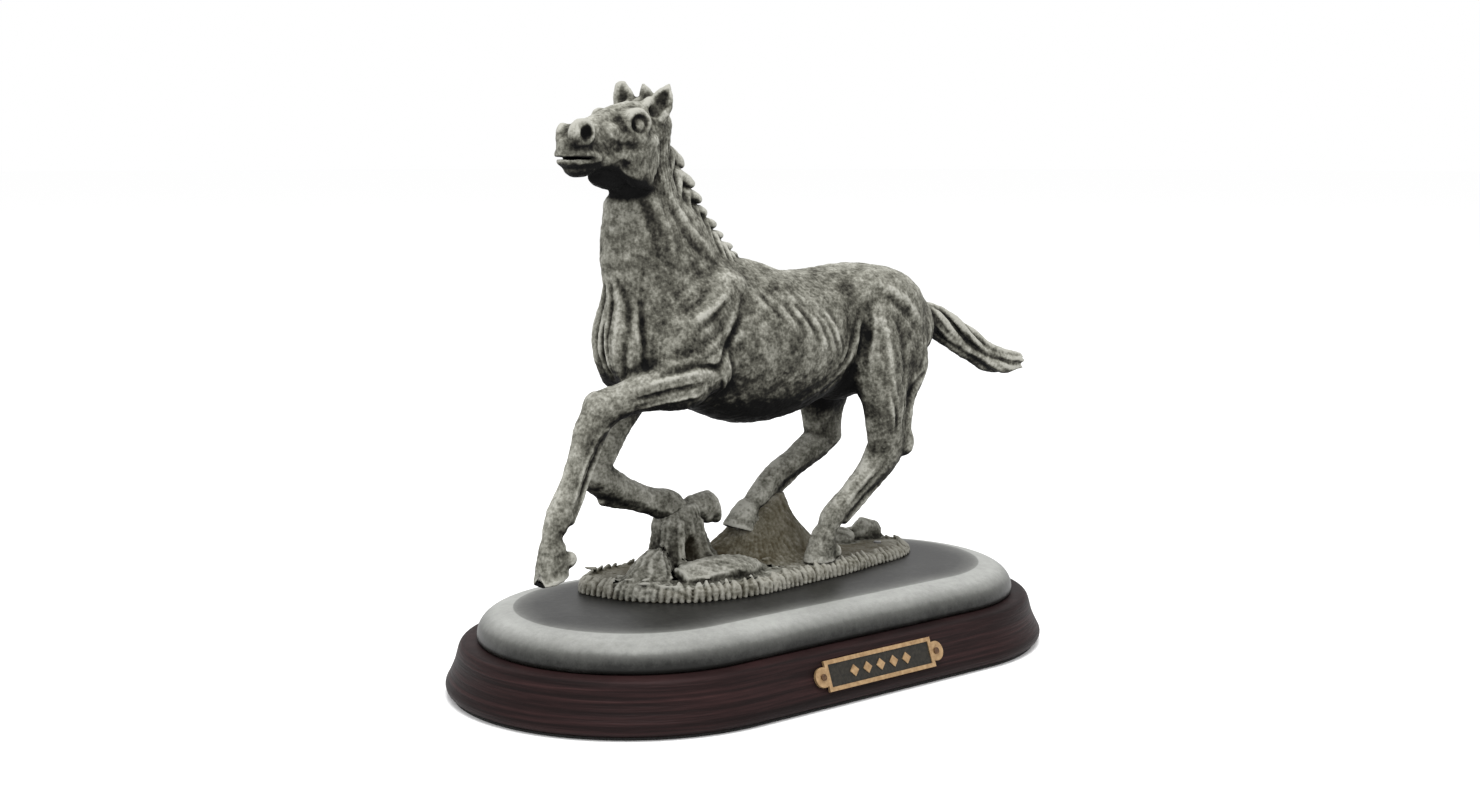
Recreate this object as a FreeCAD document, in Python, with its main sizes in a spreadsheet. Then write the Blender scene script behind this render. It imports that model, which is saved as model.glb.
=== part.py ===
import FreeCAD, Part
import math
import os
import Sketcher

# A galloping horse, cast in metal and mounted on a stadium-shaped wooden plinth.
# Millimetres, +Z up.  The origin is the centre of the plinth's underside; +X runs along the
# plinth towards the tail, so the horse faces -X and its near side and the nameplate face -Y.

Vector = FreeCAD.Vector
Rotation = FreeCAD.Rotation
Placement = FreeCAD.Placement

doc = FreeCAD.newDocument("horse_statue")
sheet = doc.addObject("Spreadsheet::Sheet", "Sizes")

# ---------------------------------------------------------------- driving dimensions

SIZES = {
    # plinth, cap and felt
    "end_centre": 58.7,       # from the middle to the centre of each round end
    "felt_thick": 1.0,
    "felt_radius": 66.0,
    "foot_radius": 68.3,      # widest radius of the wood's round ends
    "foot_top": 4.6,
    "ledge_radius": 63.4,     # where the sloping side meets the rounded ledge
    "slope_top": 17.5,
    "wood_top": 19.5,
    "recess_radius": 57.0,
    "recess_depth": 3.0,
    "cap_radius": 56.8,
    "cap_top": 31.0,
    "cap_round": 9.0,
    "cap_wall": 3.0,
    "boss_radius": 5.0,
    # screws from below into the cap's bosses
    "base_screw_x": 50.0,
    "base_screw_y": 25.0,
    "base_screw_radius": 2.0,
    "base_screw_length": 16.0,
    "base_head_radius": 3.8,
    "base_head_thick": 2.6,
    "base_washer_radius": 4.6,
    "washer_thick": 0.8,
    "counterbore_radius": 5.0,
    "counterbore_top": 8.0,
    # screws from inside the cap up into the ground casting
    "ground_screw_radius": 1.5,
    "ground_screw_length": 7.8,
    "ground_head_radius": 2.8,
    "ground_head_thick": 1.8,
    "ground_washer_radius": 3.4,
    # ground casting
    "ground_top": 37.0,
    "ground_top_scale": 0.94,  # its top outline, as a share of the bottom one
    # castings and pins
    "cast_wall": 4.0,
    "fit_gap": 0.05,
    # nameplate
    "plate_long": 53.0,
    "plate_high": 11.0,
    "plate_thick": 1.0,
    "plate_rim": 1.5,
    "plate_centre": 11.4,     # height of its middle above the underside
    "ear_radius": 3.6,
    "ear_reach": 28.15,       # from the middle of the plate to the centre of each ear
    "panel_thick": 0.6,
    "motif_size": 3.0,
    "motif_pitch": 6.5,
    "motif_thick": 0.3,
    "tack_radius": 0.5,
    "wood_ledge_round": 1.8,
    "wood_foot_round": 1.2,
    "shank_gap": 0.2,
    "thread_deep": 8.5,
    "tack_head_radius": 1.2,
    "tack_head_thick": 0.5,
    "tack_length": 5.0,
}

# Each line of the body is a row of elliptical sections:
# name: x, y, z of its centre, then half its depth (fore and aft) and half its width.
LINES = {
    "trunk": {
        "breast": (-65.0, 0.0, 127.0, 10.5, 10.0),
        "chest": (-58.5, 0.0, 126.0, 18.5, 16.0),
        "shoulder": (-46.0, 0.0, 124.5, 24.5, 19.5),
        "girth": (-28.0, 0.0, 123.0, 27.5, 21.0),
        "ribs": (-8.0, 0.0, 121.5, 29.5, 22.5),
        "barrel": (11.0, 0.0, 120.8, 27.4, 22.5),
        "flank": (30.0, 0.0, 124.5, 24.7, 21.5),
        "loin": (46.0, 0.0, 125.5, 24.4, 21.5),
        "croup": (62.0, 0.0, 122.5, 23.0, 20.0),
        "rump": (75.5, 0.0, 119.5, 17.0, 15.0),
        "buttock": (83.5, 0.0, 118.5, 10.0, 9.0),
    },
    "neck": {
        "neck_root": (-37.0, 0.0, 136.0, 26.0, 15.0),
        "neck_low": (-46.5, 0.0, 156.5, 26.0, 12.5),
        "neck_mid": (-51.5, 0.0, 170.0, 20.0, 11.0),
        "throat": (-53.5, 0.0, 184.0, 15.5, 10.0),
        "poll": (-54.0, 0.0, 199.0, 11.0, 8.0),
    },
    "head": {
        "nape": (-47.5, 0.0, 199.0, 8.5, 7.0),
        "cheek": (-58.0, -0.7, 195.5, 14.0, 10.5),
        "brow": (-67.0, -1.5, 195.5, 12.0, 10.0),
        "face": (-77.0, -2.5, 195.5, 9.4, 7.6),
        "muzzle": (-86.0, -3.2, 194.0, 8.6, 6.8),
        "lips": (-95.0, -4.0, 194.0, 6.0, 5.4),
    },
    "tail": {
        "dock": (79.0, 0.0, 128.0, 7.0, 6.0),
        "tail_root": (92.0, -1.0, 124.0, 7.0, 5.5),
        "tail_high": (105.0, -2.0, 118.5, 7.2, 5.0),
        "tail_bend": (118.0, -4.0, 108.5, 7.0, 5.0),
        "tail_low": (131.0, -5.0, 104.5, 5.5, 4.5),
        "tail_tip": (144.5, -5.0, 104.5, 2.5, 2.0),
    },
    "near_fore": {
        "near_shoulder": (-36.0, -12.0, 118.0, 9.5, 7.0),
        "near_elbow": (-48.0, -15.5, 112.5, 10.0, 7.5),
        "near_forearm": (-62.0, -12.0, 110.0, 8.2, 6.6),
        "near_knee": (-76.5, -7.5, 105.0, 7.0, 5.6),
        "near_knee_low": (-84.0, -6.0, 95.5, 5.6, 4.8),
        "near_cannon": (-90.0, -6.0, 81.0, 4.4, 3.8),
        "near_fetlock": (-96.0, -6.0, 69.0, 4.9, 4.2),
        "near_pastern": (-99.0, -5.2, 60.5, 3.9, 3.5),
        "near_coronet": (-98.4, -4.7, 56.0, 4.8, 4.4),
        "near_toe": (-97.8, -4.2, 45.5, 6.6, 5.6),
    },
    "off_fore": {
        "off_shoulder": (-43.0, 9.0, 122.0, 9.5, 7.0),
        "off_elbow": (-49.0, 14.0, 108.0, 9.0, 7.0),
        "off_forearm": (-57.0, 14.5, 95.0, 7.2, 6.0),
        "off_knee": (-64.5, 13.5, 82.5, 6.0, 5.4),
        "off_knee_bend": (-66.0, 13.0, 75.5, 5.6, 5.0),
        "off_knee_low": (-60.0, 13.0, 70.5, 5.0, 4.6),
        "off_cannon": (-46.0, 13.0, 66.0, 4.2, 3.8),
        "off_fetlock": (-33.0, 13.0, 62.5, 4.9, 4.2),
        "off_pastern": (-26.0, 13.0, 60.0, 3.9, 3.5),
        "off_coronet": (-20.5, 13.0, 59.2, 4.8, 4.4),
        "off_toe": (-9.5, 13.0, 58.2, 6.2, 5.4),
    },
    "near_hind": {
        "near_hip": (56.0, -10.0, 124.0, 12.0, 9.0),
        "near_stifle": (50.0, -15.0, 108.0, 13.0, 8.5),
        "near_gaskin": (52.0, -16.5, 94.0, 9.6, 6.5),
        "near_gaskin_low": (56.0, -15.0, 84.0, 7.0, 5.0),
        "near_hock": (54.5, -14.0, 76.0, 6.6, 4.6),
        "near_hock_low": (47.0, -13.0, 69.0, 4.9, 4.0),
        "near_shank": (38.0, -12.0, 61.0, 4.2, 3.7),
        "near_hind_fetlock": (28.5, -11.0, 53.0, 4.9, 4.2),
        "near_hind_pastern": (25.5, -10.5, 47.5, 3.9, 3.6),
        "near_hind_coronet": (24.5, -10.0, 43.5, 4.9, 4.4),
        "near_sole": (24.0, -10.0, 37.0, 7.0, 5.8),
    },
    "off_hind": {
        "off_hip": (54.0, 9.0, 122.0, 12.0, 9.0),
        "off_stifle": (48.0, 13.5, 106.0, 12.0, 8.0),
        "off_gaskin": (46.0, 14.0, 93.0, 9.6, 6.5),
        "off_gaskin_low": (47.0, 13.5, 84.5, 7.0, 5.0),
        "off_hock": (43.0, 13.0, 77.5, 6.4, 4.6),
        "off_hock_low": (35.0, 12.5, 73.0, 4.8, 4.0),
        "off_shank": (24.0, 12.0, 68.5, 4.2, 3.7),
        "off_hind_fetlock": (11.5, 11.0, 61.5, 4.9, 4.2),
        "off_hind_pastern": (6.5, 10.6, 57.8, 3.9, 3.6),
        "off_hind_coronet": (3.0, 10.4, 55.2, 4.9, 4.4),
        "off_sole": (-1.0, 10.0, 49.4, 6.8, 5.8),
    },
    "stump": {
        "stump_foot": (-30.0, 11.0, 37.0, 12.0, 11.0),
        "stump_waist": (-30.0, 12.0, 45.0, 9.0, 8.4),
        "stump_neck": (-29.0, 13.0, 51.0, 8.8, 8.0),
        "stump_crown": (-27.0, 13.0, 57.5, 10.8, 9.0),
    },
    "knoll": {
        "knoll_foot": (6.0, 12.5, 37.0, 23.0, 15.0),
        "knoll_side": (2.0, 11.5, 44.5, 13.5, 9.5),
        "knoll_crown": (-1.0, 10.4, 49.4, 8.4, 7.2),
    },
    "root": {
        "root_foot": (-46.0, 9.0, 37.0, 10.5, 9.0),
        "root_side": (-45.0, 9.0, 42.0, 7.5, 6.5),
        "root_crown": (-43.5, 8.5, 47.0, 3.2, 2.6),
    },
    "slab": {
        "slab_foot": (-20.0, -4.0, 37.0, 13.0, 7.6),
        "slab_crown": (-19.5, -3.0, 41.5, 10.5, 5.6),
    },
    "boulder": {
        "boulder_foot": (77.0, 21.0, 37.0, 7.0, 5.4),
        "boulder_crown": (78.0, 21.0, 41.0, 4.6, 3.2),
    },
    "cobble": {
        "cobble_foot": (63.0, 19.0, 37.0, 5.4, 4.4),
        "cobble_crown": (63.0, 19.0, 40.2, 3.4, 2.6),
    },
}

# Sections whose plane is level, because they rest on the ground or rise from it.
LEVEL_SECTIONS = {
    "near_toe", "near_sole", "off_sole", "stump_foot", "stump_crown", "knoll_foot", "knoll_side",
    "knoll_crown", "root_foot", "root_side", "root_crown", "slab_foot", "slab_crown",
    "boulder_foot", "boulder_crown", "cobble_foot", "cobble_crown",
}

# Pins: centre point, direction, radius and length.  Half of each is in either casting.
PINS = {
    "trunk_pins": [
        ((11.0, 0.0, 146.2), (1, 0, 0), 0.8, 8.0),
        ((11.0, 0.0, 95.4), (1, 0, 0), 0.8, 8.0),
        ((11.0, 20.5, 120.8), (1, 0, 0), 0.8, 8.0),
        ((11.0, -20.5, 120.8), (1, 0, 0), 0.8, 8.0),
    ],
    "neck_pins": [
        ((-54.0, 0.0, 144.0), (-0.33, 0, 0.94), 1.5, 14.0),
        ((-28.0, 0.0, 151.5), (-0.33, 0, 0.94), 1.5, 14.0),
    ],
    "head_pin": [((-66.0, -1.0, 195.5), (-1, -0.07, 0), 1.5, 14.0)],
    "tail_pin": [((86.5, -0.5, 125.5), (0.96, -0.07, -0.28), 1.5, 14.0)],
    "limb_root_pins": [
        ((-50.0, -15.0, 113.5), (-0.75, -0.3, -0.6), 1.2, 9.0),
        ((-49.0, 13.0, 108.0), (-0.4, 0.2, -0.9), 1.2, 9.0),
        ((51.0, -13.5, 105.5), (-0.1, -0.3, -0.95), 1.2, 9.0),
        ((48.5, 12.5, 104.0), (-0.1, 0.3, -0.95), 1.2, 9.0),
    ],
    "limb_joint_pins": [
        ((-76.5, -7.5, 105.0), (-0.75, 0.25, -0.6), 1.0, 7.0),
        ((-64.5, 13.5, 82.5), (-0.44, -0.07, -0.9), 1.0, 7.0),
        ((54.5, -14.0, 76.0), (-0.5, 0.1, -0.85), 1.0, 7.0),
        ((43.0, 13.0, 77.5), (-0.7, -0.05, -0.7), 1.0, 7.0),
    ],
    "hoof_pins": [
        ((24.0, -10.0, 37.0), (0, 0, 1), 1.0, 8.0),
        ((-1.0, 10.0, 49.4), (0, 0, 1), 1.0, 8.0),
    ],
    "terrain_pins": [
        ((-30.0, 11.0, 37.0), (0, 0, 1), 1.0, 8.0),
        ((6.0, 12.0, 37.0), (0, 0, 1), 1.0, 8.0),
        ((-46.0, 9.0, 37.0), (0, 0, 1), 1.0, 8.0),
    ],
}

# Ears as cones from the poll: root point, tip point and root radius.
EARS = {
    "near_ear": ((-55.0, -6.5, 203.5), (-51.8, -13.0, 215.6), 3.4),
    "off_ear": ((-56.0, 4.5, 203.5), (-54.5, 10.5, 217.4), 3.4),
}
EAR_TIP_RADIUS = 0.6

# The ground's outline, seen from above.
GROUND_OUTLINE = [
    (-63.0, 26.0), (-59.0, 3.0), (-45.0, -13.0), (-15.0, -20.0), (30.0, -15.0), (72.0, -6.0),
    (89.0, 14.0), (88.0, 31.0), (58.0, 37.0), (8.0, 38.0), (-38.0, 37.0),
]
GROUND_MIDDLE = (14.0, 9.0)
GROUND_SCREWS = [(-52.0, 19.0), (32.0, 24.0), (72.0, 8.0)]
SIDES = (-1, 1)


def fill_sheet():
    """Write every driving dimension and section to the sheet, with an alias each."""
    rows = dict(SIZES)
    for line in LINES.values():
        for name, values in line.items():
            for part, value in zip(("x", "y", "z", "depth", "width"), values):
                rows[name + "_" + part] = value
    for number, (alias, value) in enumerate(rows.items(), start=1):
        sheet.set("A%d" % number, alias)
        sheet.set("B%d" % number, repr(float(value)))
        sheet.setAlias("B%d" % number, alias)
    doc.recompute()


def bind(obj, **expressions):
    """Bind properties to the sheet; __ in a name stands for a dot in the property's path."""
    for name, expression in expressions.items():
        text = str(expression)
        for alias in sorted(SIZES, key=len, reverse=True):
            text = text.replace("#" + alias, "Sizes." + alias)
        obj.setExpression(name.replace("__", "."), text)


# ---------------------------------------------------------------- base pieces

def stadium_sketch(body, name, radius, height):
    """A stadium-shaped sketch of the given end radius, level with the given height."""
    sketch = body.newObject("Sketcher::SketchObject", name)
    plane = [part for part in body.Origin.OriginFeatures if part.Role == "XY_Plane"][0]
    sketch.AttachmentSupport = (plane, [""])
    sketch.MapMode = "FlatFace"
    half = SIZES["end_centre"]
    reach = 60.0
    up = Vector(0, 0, 1)
    quarter = math.pi / 2
    circles = [Part.Circle(Vector(side * half, 0, 0), up, reach) for side in SIDES]
    sketch.addGeometry(Part.ArcOfCircle(circles[0], quarter, 3 * quarter))
    sketch.addGeometry(Part.ArcOfCircle(circles[1], -quarter, quarter))
    sketch.addGeometry(Part.LineSegment(Vector(-half, -reach, 0), Vector(half, -reach, 0)))
    sketch.addGeometry(Part.LineSegment(Vector(half, reach, 0), Vector(-half, reach, 0)))
    sketch.addConstraint([
        Sketcher.Constraint("Tangent", 0, 2, 2, 1),
        Sketcher.Constraint("Tangent", 2, 2, 1, 1),
        Sketcher.Constraint("Tangent", 1, 2, 3, 1),
        Sketcher.Constraint("Tangent", 3, 2, 0, 1),
        Sketcher.Constraint("PointOnObject", 0, 3, -1),
        Sketcher.Constraint("PointOnObject", 1, 3, -1),
        Sketcher.Constraint("Equal", 0, 1),
    ])
    rules = {"left": ("DistanceX", 0, 3, -1, 1, half), "right": ("DistanceX", -1, 1, 1, 3, half)}
    for rule, values in rules.items():
        sketch.renameConstraint(sketch.addConstraint(Sketcher.Constraint(*values)), rule)
        sketch.setExpression("Constraints." + rule, "Sizes.end_centre")
    index = sketch.addConstraint(Sketcher.Constraint("Radius", 0, reach))
    sketch.renameConstraint(index, "end_radius")
    bind(sketch, Constraints__end_radius=radius, AttachmentOffset__Base__z=height)
    return sketch


def pad(body, name, sketch, length):
    feature = body.newObject("PartDesign::Pad", name)
    feature.Profile = sketch
    bind(feature, Length=length)
    return feature


def edges_at(shape, height):
    """The names of the edges that lie wholly at one height."""
    found = []
    for number, edge in enumerate(shape.Edges, start=1):
        box = edge.BoundBox
        if abs(box.ZMin - height) < 0.01 and abs(box.ZMax - height) < 0.01:
            found.append("Edge%d" % number)
    return found


def round_edges(body, name, height, radius):
    doc.recompute()
    tip = body.Tip
    feature = body.newObject("PartDesign::Fillet", name)
    feature.Base = (tip, edges_at(tip.Shape, height))
    bind(feature, Radius=radius)
    return feature


def wood_body():
    """The plinth: upright foot, sloping side, rounded ledge and the cap's recess."""
    body = doc.addObject("PartDesign::Body", "wood_blank")
    foot = stadium_sketch(body, "foot_outline", "#foot_radius", "#felt_thick")
    pad(body, "foot", foot, "#foot_top - #felt_thick")
    low = stadium_sketch(body, "slope_low", "#foot_radius", "#foot_top")
    high = stadium_sketch(body, "slope_high", "#ledge_radius", "#slope_top")
    doc.recompute()
    slope = body.newObject("PartDesign::AdditiveLoft", "slope")
    slope.Profile = low
    slope.Sections = [high]
    slope.Ruled = True
    ledge = stadium_sketch(body, "ledge_outline", "#ledge_radius", "#slope_top")
    pad(body, "ledge", ledge, "#wood_top - #slope_top")
    round_edges(body, "ledge_round", SIZES["wood_top"], "#wood_ledge_round")
    round_edges(body, "foot_round", SIZES["felt_thick"], "#wood_foot_round")
    recess_outline = stadium_sketch(body, "recess_outline", "#recess_radius", "#wood_top")
    recess = body.newObject("PartDesign::Pocket", "recess")
    recess.Profile = recess_outline
    bind(recess, Length="#recess_depth")
    return body


def cap_body(name, radius, bottom, top, edge_round):
    """A stadium-shaped block with a rounded upper edge."""
    body = doc.addObject("PartDesign::Body", name)
    outline = stadium_sketch(body, name + "_outline", radius, bottom)
    pad(body, name + "_pad", outline, "(%s) - (%s)" % (top, bottom))
    doc.recompute()
    round_edges(body, name + "_round", body.Shape.BoundBox.ZMax, edge_round)
    return body


def felt_body():
    body = doc.addObject("PartDesign::Body", "felt_pad")
    outline = stadium_sketch(body, "felt_outline", "#felt_radius", "0")
    pad(body, "felt_sheet", outline, "#felt_thick")
    return body


def ground_sketch(body, name, scale, height):
    """The ground's outline, scaled about its middle, at the given height."""
    sketch = body.newObject("Sketcher::SketchObject", name)
    plane = [part for part in body.Origin.OriginFeatures if part.Role == "XY_Plane"][0]
    sketch.AttachmentSupport = (plane, [""])
    sketch.MapMode = "FlatFace"
    middle = Vector(*GROUND_MIDDLE, 0)
    corners = [Vector(x, y, 0) for x, y in GROUND_OUTLINE]
    curve = Part.BSplineCurve()
    curve.interpolate([middle + (point - middle) * scale for point in corners], PeriodicFlag=True)
    sketch.addGeometry(curve)
    bind(sketch, AttachmentOffset__Base__z=height)
    return sketch


def ground_body():
    """The ground casting: a flat-topped slab with a soft outline and a sloping edge."""
    body = doc.addObject("PartDesign::Body", "ground_slab")
    low = ground_sketch(body, "ground_low", 1.0, "#cap_top")
    high = ground_sketch(body, "ground_high", SIZES["ground_top_scale"], "#ground_top")
    doc.recompute()
    slab = body.newObject("PartDesign::AdditiveLoft", "ground_loft")
    slab.Profile = low
    slab.Sections = [high]
    slab.Ruled = True
    return body


# ---------------------------------------------------------------- shared shapes

def aimed(point, direction):
    """A placement at the point, with its own Z axis along the direction."""
    return Placement(Vector(*point), Rotation(Vector(0, 0, 1), Vector(*direction)))


def cylinder(name, base, direction, radius, length):
    rod = doc.addObject("Part::Cylinder", name)
    rod.Placement = aimed(base, direction)
    bind(rod, Radius=radius, Height=length)
    return rod


def fuse(name, pieces):
    union = doc.addObject("Part::MultiFuse", name)
    union.Shapes = pieces
    return union


def cut(name, base, tools):
    """The base without the tools, which are fused first when there are several."""
    result = doc.addObject("Part::Cut", name)
    result.Base = base
    result.Tool = tools[0] if len(tools) == 1 else fuse(name + "_tools", tools)
    return result


def group(name, pieces):
    """Identical separate pieces that share one node."""
    together = doc.addObject("Part::Compound", name)
    together.Links = pieces
    return together


def section_placement(names, stations, index):
    """Where a section lies: square to the line of centres, or level where it rests."""
    centre = Vector(*stations[names[index]][:3])
    before = Vector(*stations[names[max(index - 1, 0)]][:3])
    after = Vector(*stations[names[min(index + 1, len(names) - 1)]][:3])
    along = after.sub(before).normalize()
    if names[index] in LEVEL_SECTIONS:
        along = Vector(0, 0, 1 if along.z > 0 else -1)
    across = Vector(0, 1, 0) - along * along.y
    across.normalize()
    deep = across.cross(along)
    return Placement(centre, Rotation(deep, across, along, "ZXY"))


def section_row(line, shrink=None):
    """The ellipses of one line, bound to the sheet; shrink makes a smaller inner row."""
    stations = LINES[line]
    names = list(stations)
    row = {}
    for index, name in enumerate(names):
        ellipse = doc.addObject("Part::Ellipse", name + ("_core" if shrink else "_section"))
        ellipse.Placement = section_placement(names, stations, index)
        less = " - Sizes.%s" % shrink if shrink else ""
        bind(
            ellipse,
            MajorRadius="Sizes.%s_depth%s" % (name, less),
            MinorRadius="Sizes.%s_width%s" % (name, less),
            Placement__Base__x="Sizes.%s_x" % name,
            Placement__Base__y="Sizes.%s_y" % name,
            Placement__Base__z="Sizes.%s_z" % name,
        )
        row[name] = ellipse
    return row


def loft(name, row, first=None, last=None):
    """A solid skin over the sections from first to last."""
    names = list(row)
    start = names.index(first) if first else 0
    end = names.index(last) if last else len(names) - 1
    skin = doc.addObject("Part::Loft", name)
    skin.Sections = [row[station] for station in names[start:end + 1]]
    skin.Solid = True
    return skin


# ---------------------------------------------------------------- pins and their bores

def pins_and_bores():
    """Every steel pin, and for each group of pins the bores that its castings need."""
    bores = {}
    for group_name, pins in PINS.items():
        rods = []
        bores[group_name] = []
        for number, (centre, direction, radius, length) in enumerate(pins):
            axis = Vector(*direction).normalize()
            start = Vector(*centre) - axis * (length / 2)
            gap = SIZES["fit_gap"]
            name = "%s_%d" % (group_name, number)
            rods.append(cylinder(name, start, axis, str(radius), str(length)))
            bore = cylinder(
                name + "_bore", start - axis * gap, axis,
                "%s + #fit_gap" % radius, "%s + 2 * #fit_gap" % length,
            )
            bores[group_name].append(bore)
        bundle = group(group_name, rods) if len(rods) > 1 else rods[0]
        nodes[group_name] = bundle
    return bores


# ---------------------------------------------------------------- fasteners

def base_fasteners():
    """Four wood screws with washers, and the holes that they pass through."""
    screws, washers, holes, bosses, threads = [], [], [], [], []
    head_z = SIZES["counterbore_top"] - SIZES["washer_thick"] - SIZES["base_head_thick"]
    washer_z = SIZES["counterbore_top"] - SIZES["washer_thick"]
    up = (0, 0, 1)
    for x_side in SIDES:
        for y_side in SIDES:
            x = x_side * SIZES["base_screw_x"]
            y = y_side * SIZES["base_screw_y"]
            tag = "%d_%d" % (x_side + 1, y_side + 1)
            shank = cylinder("base_shank_" + tag, (x, y, head_z), up, "#base_screw_radius",
                             "#base_screw_length + #base_head_thick")
            head = cylinder("base_head_" + tag, (x, y, head_z), up, "#base_head_radius",
                            "#base_head_thick")
            screws.append(fuse("base_screw_" + tag, [shank, head]))
            ring = cylinder("base_ring_" + tag, (x, y, washer_z), up, "#base_washer_radius",
                            "#washer_thick")
            clearance = cylinder("base_clear_" + tag, (x, y, 0), up,
                                 "#base_screw_radius + #shank_gap", "#wood_top")
            washers.append(cut("base_washer_" + tag, ring, [clearance]))
            holes.append(clearance)
            holes.append(cylinder("counterbore_" + tag, (x, y, 0), up, "#counterbore_radius",
                                  "#counterbore_top"))
            floor = SIZES["wood_top"] - SIZES["recess_depth"]
            bosses.append(cylinder("boss_" + tag, (x, y, floor), up, "#boss_radius",
                                   "#cap_top - #cap_wall / 2 - %s" % floor))
            threads.append(cylinder("thread_" + tag, (x, y, floor), up,
                                    "#base_screw_radius + #fit_gap", "#thread_deep"))
    nodes["base_screws"] = group("base_screws", screws)
    nodes["base_washers"] = group("base_washers", washers)
    return holes, bosses, threads


def ground_fasteners():
    """Three screws with washers, from the cap's hollow into the ground casting."""
    screws, washers, bores = [], [], []
    ceiling = SIZES["cap_top"] - SIZES["cap_wall"]
    washer_z = ceiling - SIZES["washer_thick"]
    head_z = washer_z - SIZES["ground_head_thick"]
    up = (0, 0, 1)
    for number, (x, y) in enumerate(GROUND_SCREWS):
        tag = str(number)
        shank = cylinder("ground_shank_" + tag, (x, y, head_z), up, "#ground_screw_radius",
                         "#ground_screw_length + #ground_head_thick")
        head = cylinder("ground_head_" + tag, (x, y, head_z), up, "#ground_head_radius",
                        "#ground_head_thick")
        screws.append(fuse("ground_screw_" + tag, [shank, head]))
        bore = cylinder("ground_bore_" + tag, (x, y, head_z), up,
                        "#ground_screw_radius + #fit_gap",
                        "#ground_screw_length + #ground_head_thick + #fit_gap")
        ring = cylinder("ground_ring_" + tag, (x, y, washer_z), up, "#ground_washer_radius",
                        "#washer_thick")
        washers.append(cut("ground_washer_" + tag, ring, [bore]))
        bores.append(bore)
    nodes["ground_screws"] = group("ground_screws", screws)
    nodes["ground_washers"] = group("ground_washers", washers)
    return bores


# ---------------------------------------------------------------- nameplate

def on_slope(along, up, out):
    """A placement on the plinth's sloping front, offset along it, up it and out from it."""
    rise = SIZES["slope_top"] - SIZES["foot_top"]
    run = SIZES["foot_radius"] - SIZES["ledge_radius"]
    share = (SIZES["plate_centre"] - SIZES["foot_top"]) / rise
    centre = Vector(0, -(SIZES["foot_radius"] - run * share), SIZES["plate_centre"])
    turn = Rotation(Vector(1, 0, 0), 90 - math.degrees(math.atan2(run, rise)))
    return Placement(centre + turn.multVec(Vector(along, up, out)), turn)


def slope_box(name, long, high, thick, along=0.0, out=0.0):
    block = doc.addObject("Part::Box", name)
    block.Placement = on_slope(along - long / 2, -high / 2, out)
    block.Length = long
    block.Width = high
    block.Height = thick
    return block


def nameplate():
    """A brass frame with two ears, a dark panel in it, a row of lozenges and two tacks."""
    long, high, thick = SIZES["plate_long"], SIZES["plate_high"], SIZES["plate_thick"]
    rim = SIZES["plate_rim"]
    parts = [slope_box("plate_field", long, high, thick)]
    tacks, tack_bores = [], []
    for side in SIDES:
        reach = side * SIZES["ear_reach"]
        ear = doc.addObject("Part::Cylinder", "plate_ear_%d" % (side + 1))
        ear.Placement = on_slope(reach, 0, 0)
        bind(ear, Radius="#ear_radius", Height="#plate_thick")
        parts.append(ear)
        shank = doc.addObject("Part::Cylinder", "tack_shank_%d" % (side + 1))
        shank.Placement = on_slope(reach, 0, -SIZES["tack_length"] + thick)
        bind(shank, Radius="#tack_radius", Height="#tack_length")
        head = doc.addObject("Part::Cylinder", "tack_head_%d" % (side + 1))
        head.Placement = on_slope(reach, 0, thick)
        bind(head, Radius="#tack_head_radius", Height="#tack_head_thick")
        tacks.append(fuse("tack_%d" % (side + 1), [shank, head]))
        bore = doc.addObject("Part::Cylinder", "tack_bore_%d" % (side + 1))
        bore.Placement = on_slope(reach, 0, -SIZES["tack_length"] + thick - SIZES["fit_gap"])
        bind(bore, Radius="#tack_radius + #fit_gap", Height="#tack_length + #fit_gap")
        tack_bores.append(bore)
    window = slope_box("plate_window", long - 2 * rim, high - 2 * rim, thick)
    plate = fuse("plate_outline", parts)
    nodes["nameplate_frame"] = cut("nameplate_frame", plate, [window] + tack_bores)
    panel_thick = SIZES["panel_thick"]
    nodes["nameplate_panel"] = slope_box("nameplate_panel", long - 2 * rim, high - 2 * rim,
                                         panel_thick)
    lozenges = []
    turned = Placement(Vector(0, 0, 0), Rotation(Vector(0, 0, 1), 45))
    size = SIZES["motif_size"]
    for step in range(-2, 3):
        lozenge = slope_box("lozenge_%d" % (step + 2), size, size, SIZES["motif_thick"])
        seat = on_slope(step * SIZES["motif_pitch"], 0, panel_thick)
        corner = Placement(Vector(-size / 2, -size / 2, 0), Rotation())
        lozenge.Placement = seat.multiply(turned).multiply(corner)
        lozenges.append(lozenge)
    nodes["nameplate_ornament"] = group("nameplate_ornament", lozenges)
    nodes["nameplate_tacks"] = group("nameplate_tacks", tacks)
    return tack_bores


# ---------------------------------------------------------------- the assembly

nodes = {}
fill_sheet()
bores = pins_and_bores()
base_holes, bosses, threads = base_fasteners()
ground_bores = ground_fasteners()
tack_bores = nameplate()

nodes["felt_pad"] = felt_body()
nodes["wood_plinth"] = cut("wood_plinth", wood_body(), base_holes + tack_bores)

cap_floor = "#wood_top - #recess_depth"
cap_outer = cap_body("cap_outer", "#cap_radius", cap_floor, "#cap_top", "#cap_round")
cap_inner = cap_body("cap_inner", "#cap_radius - #cap_wall", cap_floor,
                     "#cap_top - #cap_wall", "#cap_round - #cap_wall")
cap_shell = cut("cap_shell", cap_outer, [cap_inner])
cap_cast = fuse("cap_cast", [cap_shell] + bosses)
nodes["plinth_cap"] = cut("plinth_cap", cap_cast, threads + ground_bores)

ground_pin_bores = bores["terrain_pins"] + [bores["hoof_pins"][0]]
nodes["ground_casting"] = cut("ground_casting", ground_body(), ground_bores + ground_pin_bores)

rows = {line: section_row(line) for line in LINES}
core_row = section_row("trunk", shrink="cast_wall")

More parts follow.
